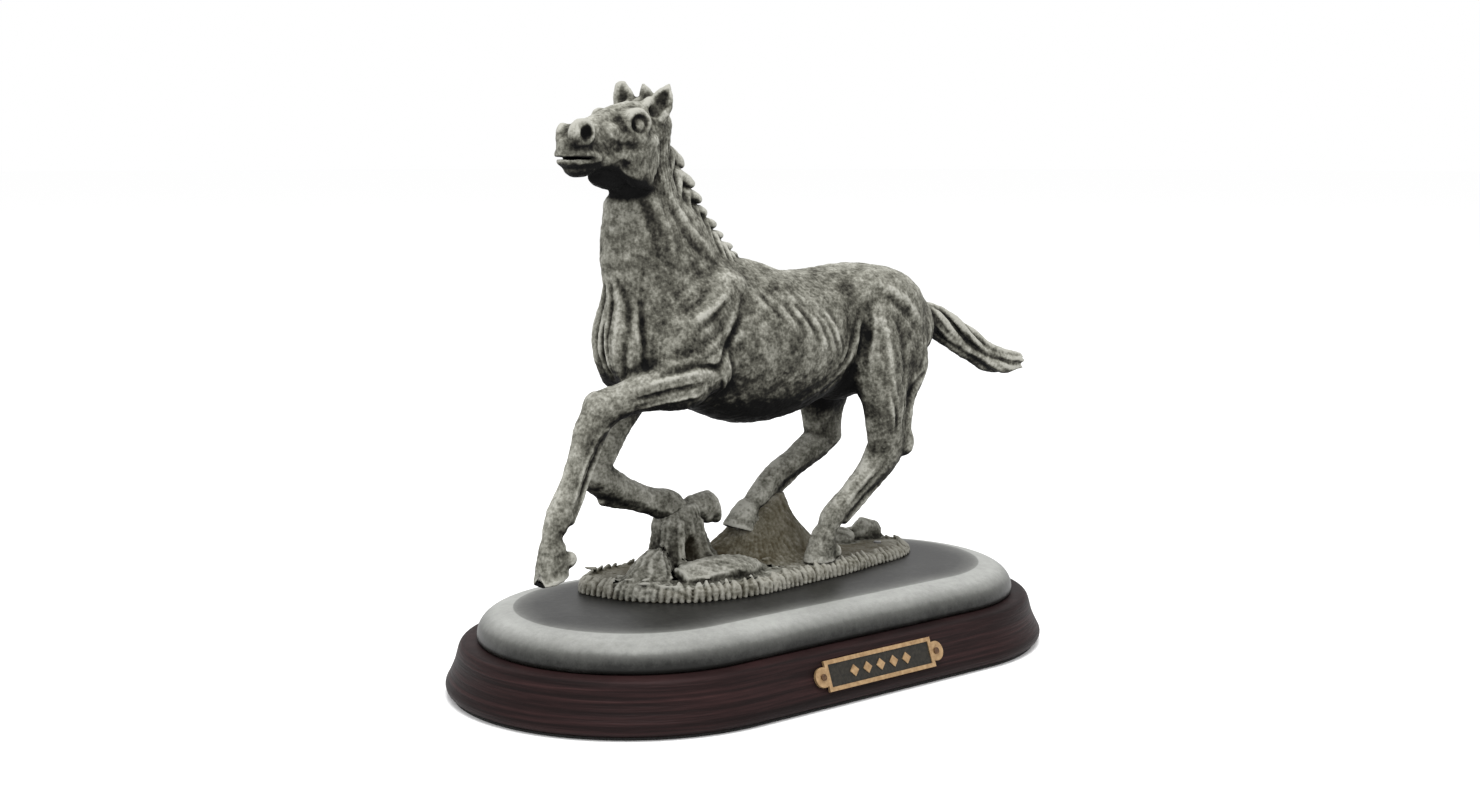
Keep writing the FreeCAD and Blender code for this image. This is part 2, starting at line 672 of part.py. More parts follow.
# The trunk is cast in two hollow halves that meet at the barrel.
trunk_front = loft("trunk_front_skin", rows["trunk"], last="barrel")
trunk_rear = loft("trunk_rear_skin", rows["trunk"], first="barrel")
front_core = loft("trunk_front_core", core_row, first="chest", last="barrel")
rear_core = loft("trunk_rear_core", core_row, first="barrel", last="rump")
fore_bores = bores["trunk_pins"] + bores["neck_pins"] + bores["limb_root_pins"][:2]
hind_bores = bores["trunk_pins"] + bores["tail_pin"] + bores["limb_root_pins"][2:]
nodes["trunk_front"] = cut("trunk_front", trunk_front, [front_core] + fore_bores)
nodes["trunk_rear"] = cut("trunk_rear", trunk_rear, [rear_core] + hind_bores)

neck_skin = loft("neck_skin", rows["neck"])
nodes["neck"] = cut("neck", neck_skin, [trunk_front] + bores["neck_pins"] + bores["head_pin"])

ears = []
for ear_name, (root, tip, root_radius) in EARS.items():
    ear = doc.addObject("Part::Cone", ear_name)
    spine = Vector(*tip) - Vector(*root)
    ear.Placement = aimed(root, spine)
    ear.Radius1 = root_radius
    ear.Radius2 = EAR_TIP_RADIUS
    ear.Height = spine.Length
    ears.append(ear)
head_skin = fuse("head_skin", [loft("head_loft", rows["head"])] + ears)
nodes["head"] = cut("head", head_skin, [neck_skin] + bores["head_pin"])
nodes["tail"] = cut("tail", loft("tail_skin", rows["tail"]), [trunk_rear] + bores["tail_pin"])

# Each limb is cast in two sections that meet in the knee or hock.
LIMBS = {
    "near_fore": ("near_knee", trunk_front, 0),
    "off_fore": ("off_knee", trunk_front, 1),
    "near_hind": ("near_hock", trunk_rear, 2),
    "off_hind": ("off_hock", trunk_rear, 3),
}
lower_skins = {}
for limb, (joint, trunk, number) in LIMBS.items():
    upper = loft(limb + "_upper_skin", rows[limb], last=joint)
    lower = loft(limb + "_lower_skin", rows[limb], first=joint)
    joint_bore = bores["limb_joint_pins"][number]
    root_bore = bores["limb_root_pins"][number]
    nodes[limb + "_upper"] = cut(limb + "_upper", upper, [trunk, root_bore, joint_bore])
    sole_bores = {"near_hind": [bores["hoof_pins"][0]], "off_hind": [bores["hoof_pins"][1]]}
    nodes[limb + "_lower"] = cut(limb + "_lower", lower, [joint_bore] + sole_bores.get(limb, []))
    lower_skins[limb] = lower

# The folded forefoot lies in a saddle in the stump; the other pieces of ground give way to it.
stump_skin = loft("stump_skin", rows["stump"])
stone_skin = loft("stone_skin", rows["slab"])
terrain = bores["terrain_pins"]
nodes["tree_stump"] = cut("tree_stump", stump_skin, [lower_skins["off_fore"], terrain[0]])
nodes["flat_stone"] = cut("flat_stone", stone_skin, [stump_skin])
knoll_tools = [stump_skin, stone_skin, terrain[1], bores["hoof_pins"][1]]
nodes["grass_knoll"] = cut("grass_knoll", loft("knoll_skin", rows["knoll"]), knoll_tools)
nodes["root_mound"] = cut("root_mound", loft("root_skin", rows["root"]),
                          [stump_skin, terrain[2]])
nodes["rear_boulder"] = loft("rear_boulder", rows["boulder"])
nodes["rear_cobble"] = loft("rear_cobble", rows["cobble"])

doc.recompute()

# ---------------------------------------------------------------- checks and files

failed = [obj.Name for obj in doc.Objects if "Invalid" in obj.State or "Error" in obj.State]
if failed:
    raise RuntimeError("failed objects: " + ", ".join(failed))

os.makedirs("parts", exist_ok=True)
for node_name, obj in nodes.items():
    obj.Label = node_name
    shape = obj.Shape
    if shape.isNull() or not shape.isValid() or not shape.Solids:
        raise RuntimeError("bad shape: " + node_name)
    box = shape.BoundBox
    print("%-20s solids %d volume %9.1f  x %.1f..%.1f y %.1f..%.1f z %.1f..%.1f" % (
        node_name, len(shape.Solids), shape.Volume,
        box.XMin, box.XMax, box.YMin, box.YMax, box.ZMin, box.ZMax))
    shape.exportStep(os.path.join("parts", node_name + ".step"))
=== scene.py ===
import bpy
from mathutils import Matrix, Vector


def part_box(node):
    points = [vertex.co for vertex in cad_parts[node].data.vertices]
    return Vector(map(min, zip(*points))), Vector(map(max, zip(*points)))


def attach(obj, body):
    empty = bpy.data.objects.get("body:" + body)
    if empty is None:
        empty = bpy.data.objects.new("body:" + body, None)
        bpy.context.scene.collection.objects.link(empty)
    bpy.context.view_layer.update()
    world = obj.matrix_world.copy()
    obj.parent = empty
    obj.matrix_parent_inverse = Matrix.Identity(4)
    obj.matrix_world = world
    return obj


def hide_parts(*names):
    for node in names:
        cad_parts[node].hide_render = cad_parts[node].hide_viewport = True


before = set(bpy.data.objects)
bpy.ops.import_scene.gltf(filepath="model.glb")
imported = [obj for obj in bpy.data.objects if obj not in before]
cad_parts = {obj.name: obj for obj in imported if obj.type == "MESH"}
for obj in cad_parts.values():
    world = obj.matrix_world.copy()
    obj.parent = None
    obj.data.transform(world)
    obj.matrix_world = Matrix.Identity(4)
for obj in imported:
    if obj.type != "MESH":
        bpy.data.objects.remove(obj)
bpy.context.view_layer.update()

import math

import bpy
import numpy as np
from mathutils import Euler, Matrix, Vector

# The statue is sculpted in millimetres in the row's own frame: the origin is the middle of the
# underside of felt_pad, the horse faces -X and its near side faces -Y.
MM = 0.001
NEAR, FAR = -1, 1
rng = np.random.default_rng(11)


def millimetres(node):
    """A CAD node's lowest and highest corners, in millimetres."""
    low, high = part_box(node)
    return np.array(low) / MM, np.array(high) / MM


# ------------------------------------------------------------------ camera

LENS = 50.0
SENSOR = 36.0
CAMERA_YAW = math.radians(-41.06)
CAMERA_PITCH = math.radians(7.61)
CAMERA_DISTANCE = 0.78322
AIM_RIGHT = -0.0065
AIM_UP = 0.0989


def make_camera():
    """The camera looks at a point a little above the plinth from its left front."""
    right = Vector((math.cos(CAMERA_YAW), math.sin(CAMERA_YAW), 0))
    back = Vector((math.sin(CAMERA_YAW), -math.cos(CAMERA_YAW), 0)) * math.cos(CAMERA_PITCH)
    back.z = math.sin(CAMERA_PITCH)
    up = back.cross(right)
    data = bpy.data.cameras.new("camera")
    data.lens = LENS
    data.sensor_width = SENSOR
    data.clip_start = 0.05
    data.clip_end = 50.0
    camera = bpy.data.objects.new("camera", data)
    place = Matrix((right, up, back)).transposed().to_4x4()
    place.translation = right * AIM_RIGHT + up * AIM_UP + back * CAMERA_DISTANCE
    camera.matrix_world = place
    bpy.context.scene.collection.objects.link(camera)
    bpy.context.scene.camera = camera


make_camera()

# ------------------------------------------------------------------ solids as distance fields


def spline_row(stations, step):
    """Stations evened out along a smooth curve through them, about one step apart."""
    rows = np.array(stations, float)
    rows = np.vstack([2 * rows[0] - rows[1], rows, 2 * rows[-1] - rows[-2]])
    made = []
    for before, start, end, after in zip(rows, rows[1:], rows[2:], rows[3:]):
        count = max(1, round(np.linalg.norm((end - start)[:3]) / step))
        for t in np.arange(count) / count:
            made.append(0.5 * (
                2 * start + (end - before) * t
                + (2 * before - 5 * start + 4 * end - after) * t ** 2
                + (3 * start - 3 * end + after - before) * t ** 3
            ))
    made.append(rows[-2])
    return np.array(made)


class Shape:
    """A solid given by its distance function and the corners of its box."""

    def __init__(self, low, high, distance):
        self.low = np.array(low, float)
        self.high = np.array(high, float)
        self.distance = distance


def rounded_distance(local, radii):
    """About how far a point in an ellipsoid's own axes is from its surface."""
    scaled = np.sqrt(sum((l / r) ** 2 for l, r in zip(local, radii)))
    slope = np.sqrt(sum((l / r ** 2) ** 2 for l, r in zip(local, radii)))
    return scaled * (scaled - 1) / np.maximum(slope, 1e-6)


def ellipsoid(centre, radii, turn=(0, 0, 0)):
    """An ellipsoid turned by the given degrees about X, Y and Z."""
    matrix = np.array(Euler([math.radians(a) for a in turn]).to_matrix())
    reach = np.abs(matrix) @ np.array(radii, float)
    centre = np.array(centre, float)

    def distance(x, y, z):
        offset = (x - centre[0], y - centre[1], z - centre[2])
        local = [sum(matrix[i][axis] * offset[i] for i in range(3)) for axis in range(3)]
        return rounded_distance(local, radii)

    return Shape(centre - reach, centre + reach, distance)


def link(start, end, sideways=(0, 1, 0)):
    """A tapering bar with an elliptical section: x, y, z, depth and width at either end."""
    first, last = start[:3], end[:3]
    span = last - first
    length = max(np.linalg.norm(span), 1e-6)
    along = span / length
    across = np.array(sideways, float) - along * np.dot(sideways, along)
    across /= np.linalg.norm(across)
    deep = np.cross(across, along)
    reach = max(*start[3:5], *end[3:5])

    def distance(x, y, z):
        offset = (x - first[0], y - first[1], z - first[2])
        run = sum(a * o for a, o in zip(along, offset))
        t = np.clip(run / length, 0, 1)
        depth = start[3] + (end[3] - start[3]) * t
        width = start[4] + (end[4] - start[4]) * t
        local = (
            sum(a * o for a, o in zip(deep, offset)),
            sum(a * o for a, o in zip(across, offset)),
            run - t * length,
        )
        return rounded_distance(local, (depth, width, (depth + width) / 2))

    return Shape(np.minimum(first, last) - reach, np.maximum(first, last) + reach, distance)


def cut_face(point, normal, reach):
    """Everything beyond a flat face, within reach of the point."""
    point, normal = np.array(point, float), np.array(normal, float)
    normal /= np.linalg.norm(normal)

    def distance(x, y, z):
        return -sum((p - c) * n for p, c, n in zip((x, y, z), point, normal))

    return Shape(point - reach, point + reach, distance)


def limb(stations, step=2.0, sideways=(0, 1, 0)):
    """The links of a limb that passes smoothly through its stations."""
    rows = spline_row(stations, step)
    return [link(a, b, sideways) for a, b in zip(rows, rows[1:])]


def stack(stations):
    """A mound or trunk of level elliptical sections, flat on top and underneath."""
    rows = spline_row(stations, 1.0)
    rows = rows[np.argsort(rows[:, 2])]
    bottom, top = rows[0, 2], rows[-1, 2]
    reach = rows[:, 3:5]
    low = (*(rows[:, :2] - reach).min(0), bottom)
    high = (*(rows[:, :2] + reach).max(0), top)

    def distance(x, y, z):
        middle_x, middle_y, deep, wide = [np.interp(z, rows[:, 2], rows[:, k]) for k in (0, 1, 3, 4)]
        side = rounded_distance((x - middle_x, y - middle_y), (deep, wide)) * 0.75
        return np.maximum(side, np.maximum(z - top, bottom - z))

    return Shape(low, high, distance)


def rod(points, step=1.5):
    """A round rod through points given as x, y, z and radius."""
    return limb([tuple(p) + (p[3],) for p in points], step)


class Field:
    """A signed distance field on a grid whose spacing may change along each axis."""

    MARGIN = 2.5

    def __init__(self, *spans):
        self.axes = [graded(span) for span in spans]
        self.values = np.full([len(axis) for axis in self.axes], 40.0, np.float32)

    def block(self, shape, blend):
        """The slices of the grid round a shape, and their coordinates."""
        reach = self.MARGIN + blend
        cuts = tuple(
            slice(*np.searchsorted(axis, (low - reach, high + reach)))
            for axis, low, high in zip(self.axes, shape.low, shape.high)
        )
        x, y, z = [axis[cut] for axis, cut in zip(self.axes, cuts)]
        return cuts, (x[:, None, None], y[None, :, None], z[None, None, :])

    def union(self, shapes, blend):
        """The distance to the nearest of the shapes, over the block that holds them all."""
        low = np.min([shape.low for shape in shapes], axis=0)
        high = np.max([shape.high for shape in shapes], axis=0)
        cuts, _ = self.block(Shape(low, high, None), blend)
        new = np.full_like(self.values[cuts], 40.0)
        for shape in shapes:
            inner, place = self.block(shape, blend)
            local = tuple(slice(i.start - c.start, i.stop - c.start) for i, c in zip(inner, cuts))
            new[local] = np.minimum(new[local], shape.distance(*place))
        return cuts, new

    def join(self, shapes, blend):
        """Add a solid made of shapes, blended into what is there over about the blend distance."""
        cuts, new = self.union(as_list(shapes), blend)
        old = self.values[cuts]
        round_off = np.maximum(blend - np.abs(old - new), 0) ** 2 / (4 * blend)
        self.values[cuts] = np.minimum(old, new) - round_off

    def carve(self, shapes, blend):
        """Take shapes away, with a rounded rim."""
        cuts, new = self.union(as_list(shapes), blend)
        old = self.values[cuts]
        round_off = np.maximum(blend - np.abs(old + new), 0) ** 2 / (4 * blend)
        self.values[cuts] = np.maximum(old, -new) + round_off


def as_list(shapes):
    return shapes if isinstance(shapes, list) else [shapes]


def graded(span):
    """Grid coordinates from runs of (start, end, spacing)."""
    runs = [np.arange(start, end - step / 2, step) for start, end, step in span]
    return np.concatenate(runs + [[span[-1][1]]]).astype(np.float32)


def lattice(points, field):
    """The field's value at free points, by linear interpolation."""
    index, share = [], []
    for axis, place in zip(field.axes, points.T):
        cell = np.clip(np.searchsorted(axis, place) - 1, 0, len(axis) - 2)
        index.append(cell)
        share.append((place - axis[cell]) / (axis[cell + 1] - axis[cell]))
    total = 0
    for corner in np.ndindex(2, 2, 2):
        weight = 1
        for s, bit in zip(share, corner):
            weight = weight * (s if bit else 1 - s)
        total = total + weight * field.values[tuple(i + bit for i, bit in zip(index, corner))]
    return total


def skin(field):
    """Vertices and four-sided faces of the field's zero surface."""
    inside = field.values < 0
    count = sum(
        inside[tuple(slice(bit, bit - 1 or None) for bit in corner)].astype(np.uint8)
        for corner in np.ndindex(2, 2, 2)
    )
    active = (count > 0) & (count < 8)
    cells = np.argwhere(active)
    number = np.full(active.shape, -1, np.int64)
    number[active] = np.arange(len(cells))
    total = np.zeros((len(cells), 3))
    hits = np.zeros(len(cells))
    for axis in range(3):
        others = [a for a in range(3) if a != axis]
        for bits in np.ndindex(2, 2):
            start = cells.copy()
            start[:, others[0]] += bits[0]
            start[:, others[1]] += bits[1]
            end = start.copy()
            end[:, axis] += 1
            a = field.values[tuple(start.T)]
            b = field.values[tuple(end.T)]
            crossed = (a < 0) != (b < 0)
            share = np.where(crossed, a / np.where(crossed, a - b, 1), 0)
            place = np.stack([field.axes[k][start[:, k]] for k in range(3)], 1).astype(float)
            step = field.axes[axis][end[:, axis]] - field.axes[axis][start[:, axis]]
            place[:, axis] += share * step
            total += place * crossed[:, None]
            hits += crossed
    faces = []
    for axis in range(3):
        u, v = (axis + 1) % 3, (axis + 2) % 3
        turned = inside.transpose(axis, u, v)
        labels = number.transpose(axis, u, v)
        change = turned[:-1, 1:-1, 1:-1] != turned[1:, 1:-1, 1:-1]
        i, j, k = np.argwhere(change).T
        around = [labels[i, j, k], labels[i, j + 1, k], labels[i, j + 1, k + 1],
                  labels[i, j, k + 1]]
        quads = np.stack(around, 1)
        outward = turned[i, j + 1, k + 1]
        quads[~outward] = quads[~outward][:, ::-1]
        faces.append(quads)
    return total / hits[:, None], np.concatenate(faces)


class Skin:
    """A mesh while it is still sculpted: vertices and four-sided faces as arrays."""

    def __init__(self, field):
        self.points, self.faces = skin(field)
        edges = np.concatenate([self.faces[:, [i, (i + 1) % 4]] for i in range(4)])
        self.edges = np.unique(np.sort(edges, 1), axis=0)
        self.links = np.bincount(self.edges.ravel(), minlength=len(self.points))
        for _ in range(3):
            self.points += (self.smooth(self.points) - self.points) * 0.6
            self.settle(field)
        for _ in range(2):
            self.points += (self.smooth(self.points) - self.points) * 0.5

    def smooth(self, values):
        """Each vertex's mean of its neighbours."""
        a, b = self.edges.T
        total = np.zeros_like(values)
        size = len(self.points)
        for k in range(values.shape[1]):
            total[:, k] = (np.bincount(a, values[b, k], size) + np.bincount(b, values[a, k], size))
        return total / np.maximum(self.links, 1)[:, None]

    def settle(self, field):
        """Move the vertices along their normals onto the field's zero surface."""
        self.points -= self.normals() * np.clip(lattice(self.points, field), -0.3, 0.3)[:, None]

    def face_normals(self):
        p = self.points[self.faces]
        return np.cross(p[:, 2] - p[:, 0], p[:, 3] - p[:, 1])

    def normals(self):
        across = self.face_normals()
        total = np.zeros_like(self.points)
        for k in range(3):
            for corner in range(4):
                total[:, k] += np.bincount(self.faces[:, corner], across[:, k], len(total))
        return total / np.maximum(np.linalg.norm(total, axis=1), 1e-9)[:, None]

    def hollows(self, rounds, limit):
        """How far each vertex lies below its smoothed surroundings, from -1 to 1."""
        blurred = self.points
        for _ in range(rounds):
            blurred = self.smooth(blurred)
        depth = ((blurred - self.points) * self.normals()).sum(1)
        for _ in range(2):
            depth = self.smooth(depth[:, None])[:, 0]
        return np.clip(depth / limit, -1, 1)

    def press(self, height):
        """Raise the vertices along their normals by the given heights."""
        self.points += self.normals() * height[:, None]


def stroke(points, line, width, plane=(0, 2)):
    """A soft brush stroke along a line drawn in a plane: 1 on the line, 0 beyond its width."""
    flat = points[:, list(plane)]
    rows = spline_row(line, 2.0)
    best = np.zeros(len(points))
    low, high = rows.min(0) - 1.5 * width, rows.max(0) + 1.5 * width
    near = np.flatnonzero(((flat > low) & (flat < high)).all(1))
    place = flat[near]
    found = np.zeros(len(near))
    total = len(rows) - 1
    for i, (a, b) in enumerate(zip(rows, rows[1:])):
        span = b - a
        t = np.clip(((place - a) @ span) / max(span @ span, 1e-9), 0, 1)
        gap = np.linalg.norm(place - a - t[:, None] * span, axis=1)
        share = (i + t) / total
        taper = np.sin(np.pi * np.clip(share, 0.02, 0.98)) ** 0.5
        found = np.maximum(found, np.exp(-(gap / (0.55 * width)) ** 2) * taper)
    best[near] = found
    return best


WAVE_COUNT = 14


def waves(points, scale, seed):
    """Smooth noise from -1 to 1, as a sum of plane waves in random directions."""
    source = np.random.default_rng(seed)
    total = np.zeros(len(points))
    for _ in range(WAVE_COUNT):
        direction = source.normal(size=3)
        direction *= source.uniform(0.7, 1.5) * 2 * np.pi / (scale * np.linalg.norm(direction))
        total += np.sin(points @ direction + source.uniform(0, 2 * np.pi))
    return total / WAVE_COUNT ** 0.5 / 1.6


# ------------------------------------------------------------------ the horse

# Rows of stations: x, y, z, half depth, half width.
TRUNK = [
    (-63.0, 0.0, 127.0, 11.0, 9.5),
    (-57.5, 0.0, 126.0, 18.0, 14.0),
    (-46.0, 0.0, 126.0, 22.8, 17.0),
    (-28.0, 0.0, 124.4, 25.4, 19.0),
    (-8.0, 0.0, 121.4, 29.3, 21.2),
    (11.0, 0.0, 120.8, 27.2, 21.6),
    (30.0, 0.0, 125.2, 23.2, 18.6),
    (46.0, 0.0, 127.8, 21.6, 17.0),
    (62.0, 0.0, 127.0, 19.6, 16.5),
    (75.0, 0.0, 122.5, 15.5, 13.0),
    (82.5, 0.0, 121.0, 9.5, 8.0),
]
NECK = [
    (-37.5, 0.0, 136.0, 25.5, 13.5),
    (-48.6, 0.0, 156.0, 23.6, 11.6),
    (-54.0, 0.0, 170.0, 17.0, 9.8),
    (-55.4, 0.0, 184.0, 12.4, 8.8),
    (-54.4, -0.5, 197.0, 9.4, 7.6),
]
NEAR_FORE = [
    (-36.0, -11.0, 118.0, 9.5, 7.0),
    (-48.0, -15.5, 112.5, 10.2, 7.6),
    (-62.0, -12.5, 110.0, 7.6, 6.4),
    (-71.0, -9.5, 107.0, 6.2, 5.4),
    (-77.5, -7.5, 104.0, 6.4, 5.6),
    (-83.0, -6.3, 97.0, 5.8, 5.0),
    (-87.0, -6.0, 88.5, 4.4, 3.8),
    (-91.0, -6.0, 79.5, 4.0, 3.4),
    (-96.0, -6.0, 69.0, 4.9, 4.3),
    (-98.8, -5.2, 61.5, 3.7, 3.4),
    (-98.6, -4.8, 57.5, 4.1, 3.9),
]
OFF_FORE = [
    (-43.0, 8.0, 122.0, 10.0, 7.0),
    (-48.5, 13.0, 109.0, 9.4, 6.6),
    (-56.0, 14.0, 96.0, 7.0, 5.6),
    (-63.5, 13.5, 83.5, 5.6, 5.0),
    (-66.0, 13.0, 78.0, 6.2, 5.4),
    (-60.6, 13.0, 73.0, 6.3, 5.2),
    (-52.0, 13.0, 69.0, 5.2, 4.4),
    (-42.0, 13.0, 65.0, 4.9, 4.2),
    (-33.0, 13.0, 62.0, 5.9, 4.9),
    (-26.0, 13.0, 60.0, 3.6, 3.4),
    (-21.5, 13.0, 59.4, 4.0, 3.9),
]
NEAR_HIND = [
    (56.0, -9.5, 124.0, 14.0, 9.0),
    (51.0, -14.5, 108.0, 12.5, 8.0),
    (50.8, -16.3, 96.0, 9.8, 6.6),
    (52.0, -15.6, 86.5, 8.9, 5.2),
    (53.6, -14.5, 79.5, 8.5, 4.9),
    (50.9, -13.6, 73.8, 7.5, 4.7),
    (44.8, -13.0, 67.9, 5.6, 4.1),
    (36.4, -12.0, 60.8, 4.5, 3.8),
    (28.5, -11.0, 53.2, 4.8, 4.2),
    (25.6, -10.5, 47.6, 3.8, 3.6),
    (24.8, -10.1, 44.6, 4.3, 4.1),
]
OFF_HIND = [
    (54.0, 8.5, 122.0, 14.0, 9.0),
    (48.5, 12.5, 106.0, 11.8, 7.6),
    (45.5, 14.0, 94.0, 9.2, 6.2),
    (45.1, 13.6, 85.5, 7.8, 5.0),
    (44.5, 13.2, 79.5, 6.8, 4.7),
    (37.8, 12.8, 75.8, 6.1, 4.8),
    (29.4, 12.3, 72.0, 5.1, 4.4),
    (19.8, 11.7, 67.9, 4.7, 4.1),
    (11.5, 11.0, 61.5, 4.8, 4.2),
    (6.7, 10.7, 57.8, 3.8, 3.5),
    (4.2, 10.5, 56.0, 4.2, 4.0),
]
TAIL = [
    (80.0, 0.0, 127.5, 6.0, 5.5),
    (90.0, -0.8, 125.0, 5.6, 4.8),
    (100.0, -1.6, 120.6, 5.6, 4.6),
    (111.0, -2.8, 113.6, 6.0, 4.6),
    (121.0, -4.2, 107.6, 5.6, 4.4),
    (131.0, -5.0, 104.8, 4.6, 4.0),
    (140.2, -5.0, 104.6, 2.8, 2.6),
]
# The crest of the neck, from the poll down to the withers.
CREST = [(-47.0, 204.0), (-44.0, 196.0), (-40.0, 186.5), (-34.5, 176.5), (-26.5, 167.0),
         (-17.5, 158.5), (-9.5, 151.0)]

POLL = np.array((-49.0, 0.0))
# Forelock and ears, above this level and in front of this x, belong to the head's casting.
POLL_BACK, POLL_LEVEL = -44.0, 203.0
# Where the front and rear castings of the trunk meet, and the station where a leg's castings do.
TRUNK_JOINT = 11.0
KNEE = 5
HORSE_GRID = 0.62
HEAD_TURN = math.radians(16.0)


def on_head(forward, side, height):
    """A point of the head: how far in front of the poll, to which side, and how high."""
    ahead = np.array((-math.cos(HEAD_TURN), -math.sin(HEAD_TURN)))
    sideways = np.array((-math.sin(HEAD_TURN), math.cos(HEAD_TURN)))
    x, y = POLL + ahead * forward + sideways * side
    return (x, y, height)


def head_ellipsoid(centre, radii, pitch=0.0, yaw=0.0):
    """An ellipsoid that turns with the head, its centre given as for on_head."""
    return ellipsoid(on_head(*centre), radii, (0.0, pitch, math.degrees(HEAD_TURN) + yaw))


def head_rod(points):
    """A round rod on the head, through points given as for on_head, and radius."""
    return rod([on_head(*place) + (radius,) for *place, radius in points])


def head_rim(centre, forward, tall, radius, side, turn_in):
    """A raised rim round a hollow on the side of the head, thicker above and behind."""
    f, s, z = centre
    points = []
    for angle in np.linspace(0, 2 * math.pi, 17):
        thick = radius * (1 - 0.28 * math.cos(angle - 2.2))
        points.append((f + forward * math.cos(angle),
                       s - side * turn_in * forward * math.cos(angle),
                       z + tall * math.sin(angle), 2 * radius - thick))
    return head_rod(points)


# The head's stations: distance in front of the poll, height, half depth, half width.
HEAD = [
    (1.0, 202.0, 8.0, 6.6),
    (8.0, 197.0, 12.6, 7.6),
    (15.0, 194.8, 14.4, 8.2),
    (22.0, 194.6, 13.6, 8.0),
    (29.0, 195.0, 11.2, 6.6),
    (36.0, 194.8, 9.2, 5.8),
    (42.0, 194.0, 8.6, 5.8),
    (45.5, 193.8, 7.6, 5.6),
    (47.5, 194.0, 6.2, 5.0),
]


# Muscles and hollows of one side of the trunk: centre, radii, turn, blend.
MUSCLES = [
    # shoulder blade, upper arm, point of the shoulder
    ((-38, 11.5, 135), (22, 7.0, 8.5), (-10, -33, 0), 5.0),
    ((-48, 14.0, 124), (13, 6.0, 9.5), (0, -30, 0), 4.0),
    ((-38, 16.0, 117), (11, 6.0, 8.5), (0, 30, 0), 4.0),
    # breast
    ((-62, 6.2, 121.5), (7.0, 5.6, 12.5), (0, 8, 0), 3.0),
    # thigh, rump and buttock
    ((56, 10.0, 136), (19, 9.0, 11.0), (0, 12, 0), 6.0),
    ((49, 14.0, 116), (10.5, 8.0, 19.0), (0, -4, 0), 5.0),
    ((65, 12.5, 115), (10.5, 7.6, 18.0), (0, -12, 0), 5.0),
]
HOLLOWS = [
    # the flank, and the notch between flank and thigh
    ((33, 22.2, 129), (5.0, 4.6, 12.0), (0, 12, 0), 5.0),
    ((37.0, 20.6, 116.5), (3.2, 5.0, 17.0), (0, 7, 0), 1.4),
]


def sided(side, centre, radii, turn):
    """An ellipsoid given for the far side, put on either side."""
    x, y, z = centre
    a, b, c = turn
    return ellipsoid((x, side * y, z), radii, (side * a, b, side * c))


def sculpt_trunk(field):
    field.join(limb(TRUNK, 5.0), 0.5)
    field.join(limb(NECK, 4.0), 9.0)
    for side in (NEAR, FAR):
        for *muscle, blend in MUSCLES:
            field.join(sided(side, *muscle), blend)
        for *hollow, blend in HOLLOWS:
            field.carve(sided(side, *hollow), blend)
    # groin between the thighs
    field.join(ellipsoid((39.5, 0, 105.5), (13, 11, 9.0)), 4.0)
    # withers and spine
    field.join(ellipsoid((-14, 0, 147), (17, 5.0, 6.5), (0, 6, 0)), 6.0)
    # groove between the breast muscles
    field.carve(ellipsoid((-70.5, 0, 120), (4.0, 1.1, 13)), 2.0)


def sculpt_limbs(field):
    field.join(limb(NEAR_FORE), 3.0)
    field.join(limb(OFF_FORE), 3.0)
    field.join(limb(NEAR_HIND), 4.0)
    field.join(limb(OFF_HIND), 4.0)
    # points of the hocks, and the tendons above them
    field.join(ellipsoid((64.5, -14.0, 78.0), (3.2, 3.0, 4.4), (0, 20, 0)), 3.0)
    field.join(rod([(63.8, -14.0, 79, 2.7), (64.2, -14.6, 90, 2.9), (65.4, -14.5, 103, 3.7)]), 4.5)
    field.join(ellipsoid((50.5, 13.0, 80.0), (3.2, 3.0, 4.4), (0, 30, 0)), 3.0)
    field.join(rod([(50.4, 13.0, 81, 2.5), (53.4, 13.4, 91, 2.8), (57.4, 13.0, 103, 3.5)]), 4.5)
    # sinews behind the shanks
    for sinew in (
        [(60, -13.6, 73, 1.9), (50.5, -13.0, 64.4, 1.6), (34.5, -11.4, 51.6, 2.0)],
        [(44, 12.8, 73.6, 1.9), (32, 12.3, 67.6, 1.6), (14, 11.2, 57.8, 2.0)],
        [(-78, -6.2, 95.5, 1.9), (-85, -6, 79, 1.5), (-91.8, -6, 66.5, 2.0)],
        [(-63, 13, 67.0, 1.8), (-46, 13, 62.6, 1.5), (-33, 13, 58.8, 2.0)],
    ):
        field.join(rod(sinew), 1.6)
    # knee bones
    field.join(ellipsoid((-80.5, -7.0, 105.5), (4.0, 4.6, 5.0), (0, -30, 0)), 2.5)
    field.join(ellipsoid((-69.5, 13.0, 77.5), (3.0, 4.2, 4.6)), 2.5)
    # dip between the fetlock and the hoof of the folded foreleg
    field.carve(ellipsoid((-25.4, 13.0, 66.6), (1.9, 7.0, 3.8)), 1.0)


def hoof(field, coronet, sole, heel, normal):
    """A hoof that flares from the coronet to a flat sole, with bulbs at the heel."""
    top, bottom, heel = [np.array(v, float) for v in (coronet, sole, heel)]
    axis = bottom - top
    rows = [tuple(top) + (4.9, 4.6), tuple(top + axis * 0.15) + (4.7, 4.4),
            tuple(top + axis * 0.3) + (5.6, 4.9), tuple(bottom) + (6.7, 5.6),
            tuple(bottom + axis * 0.5) + (6.9, 5.8)]
    field.join([link(np.array(a), np.array(b)) for a, b in zip(rows, rows[1:])], 1.0)
    for side in (NEAR, FAR):
        field.join(ellipsoid(heel + np.array((0, side * 2.0, 0)), (2.6, 2.4, 2.8)), 1.2)
    field.carve(cut_face(sole, normal, 9.0), 0.5)


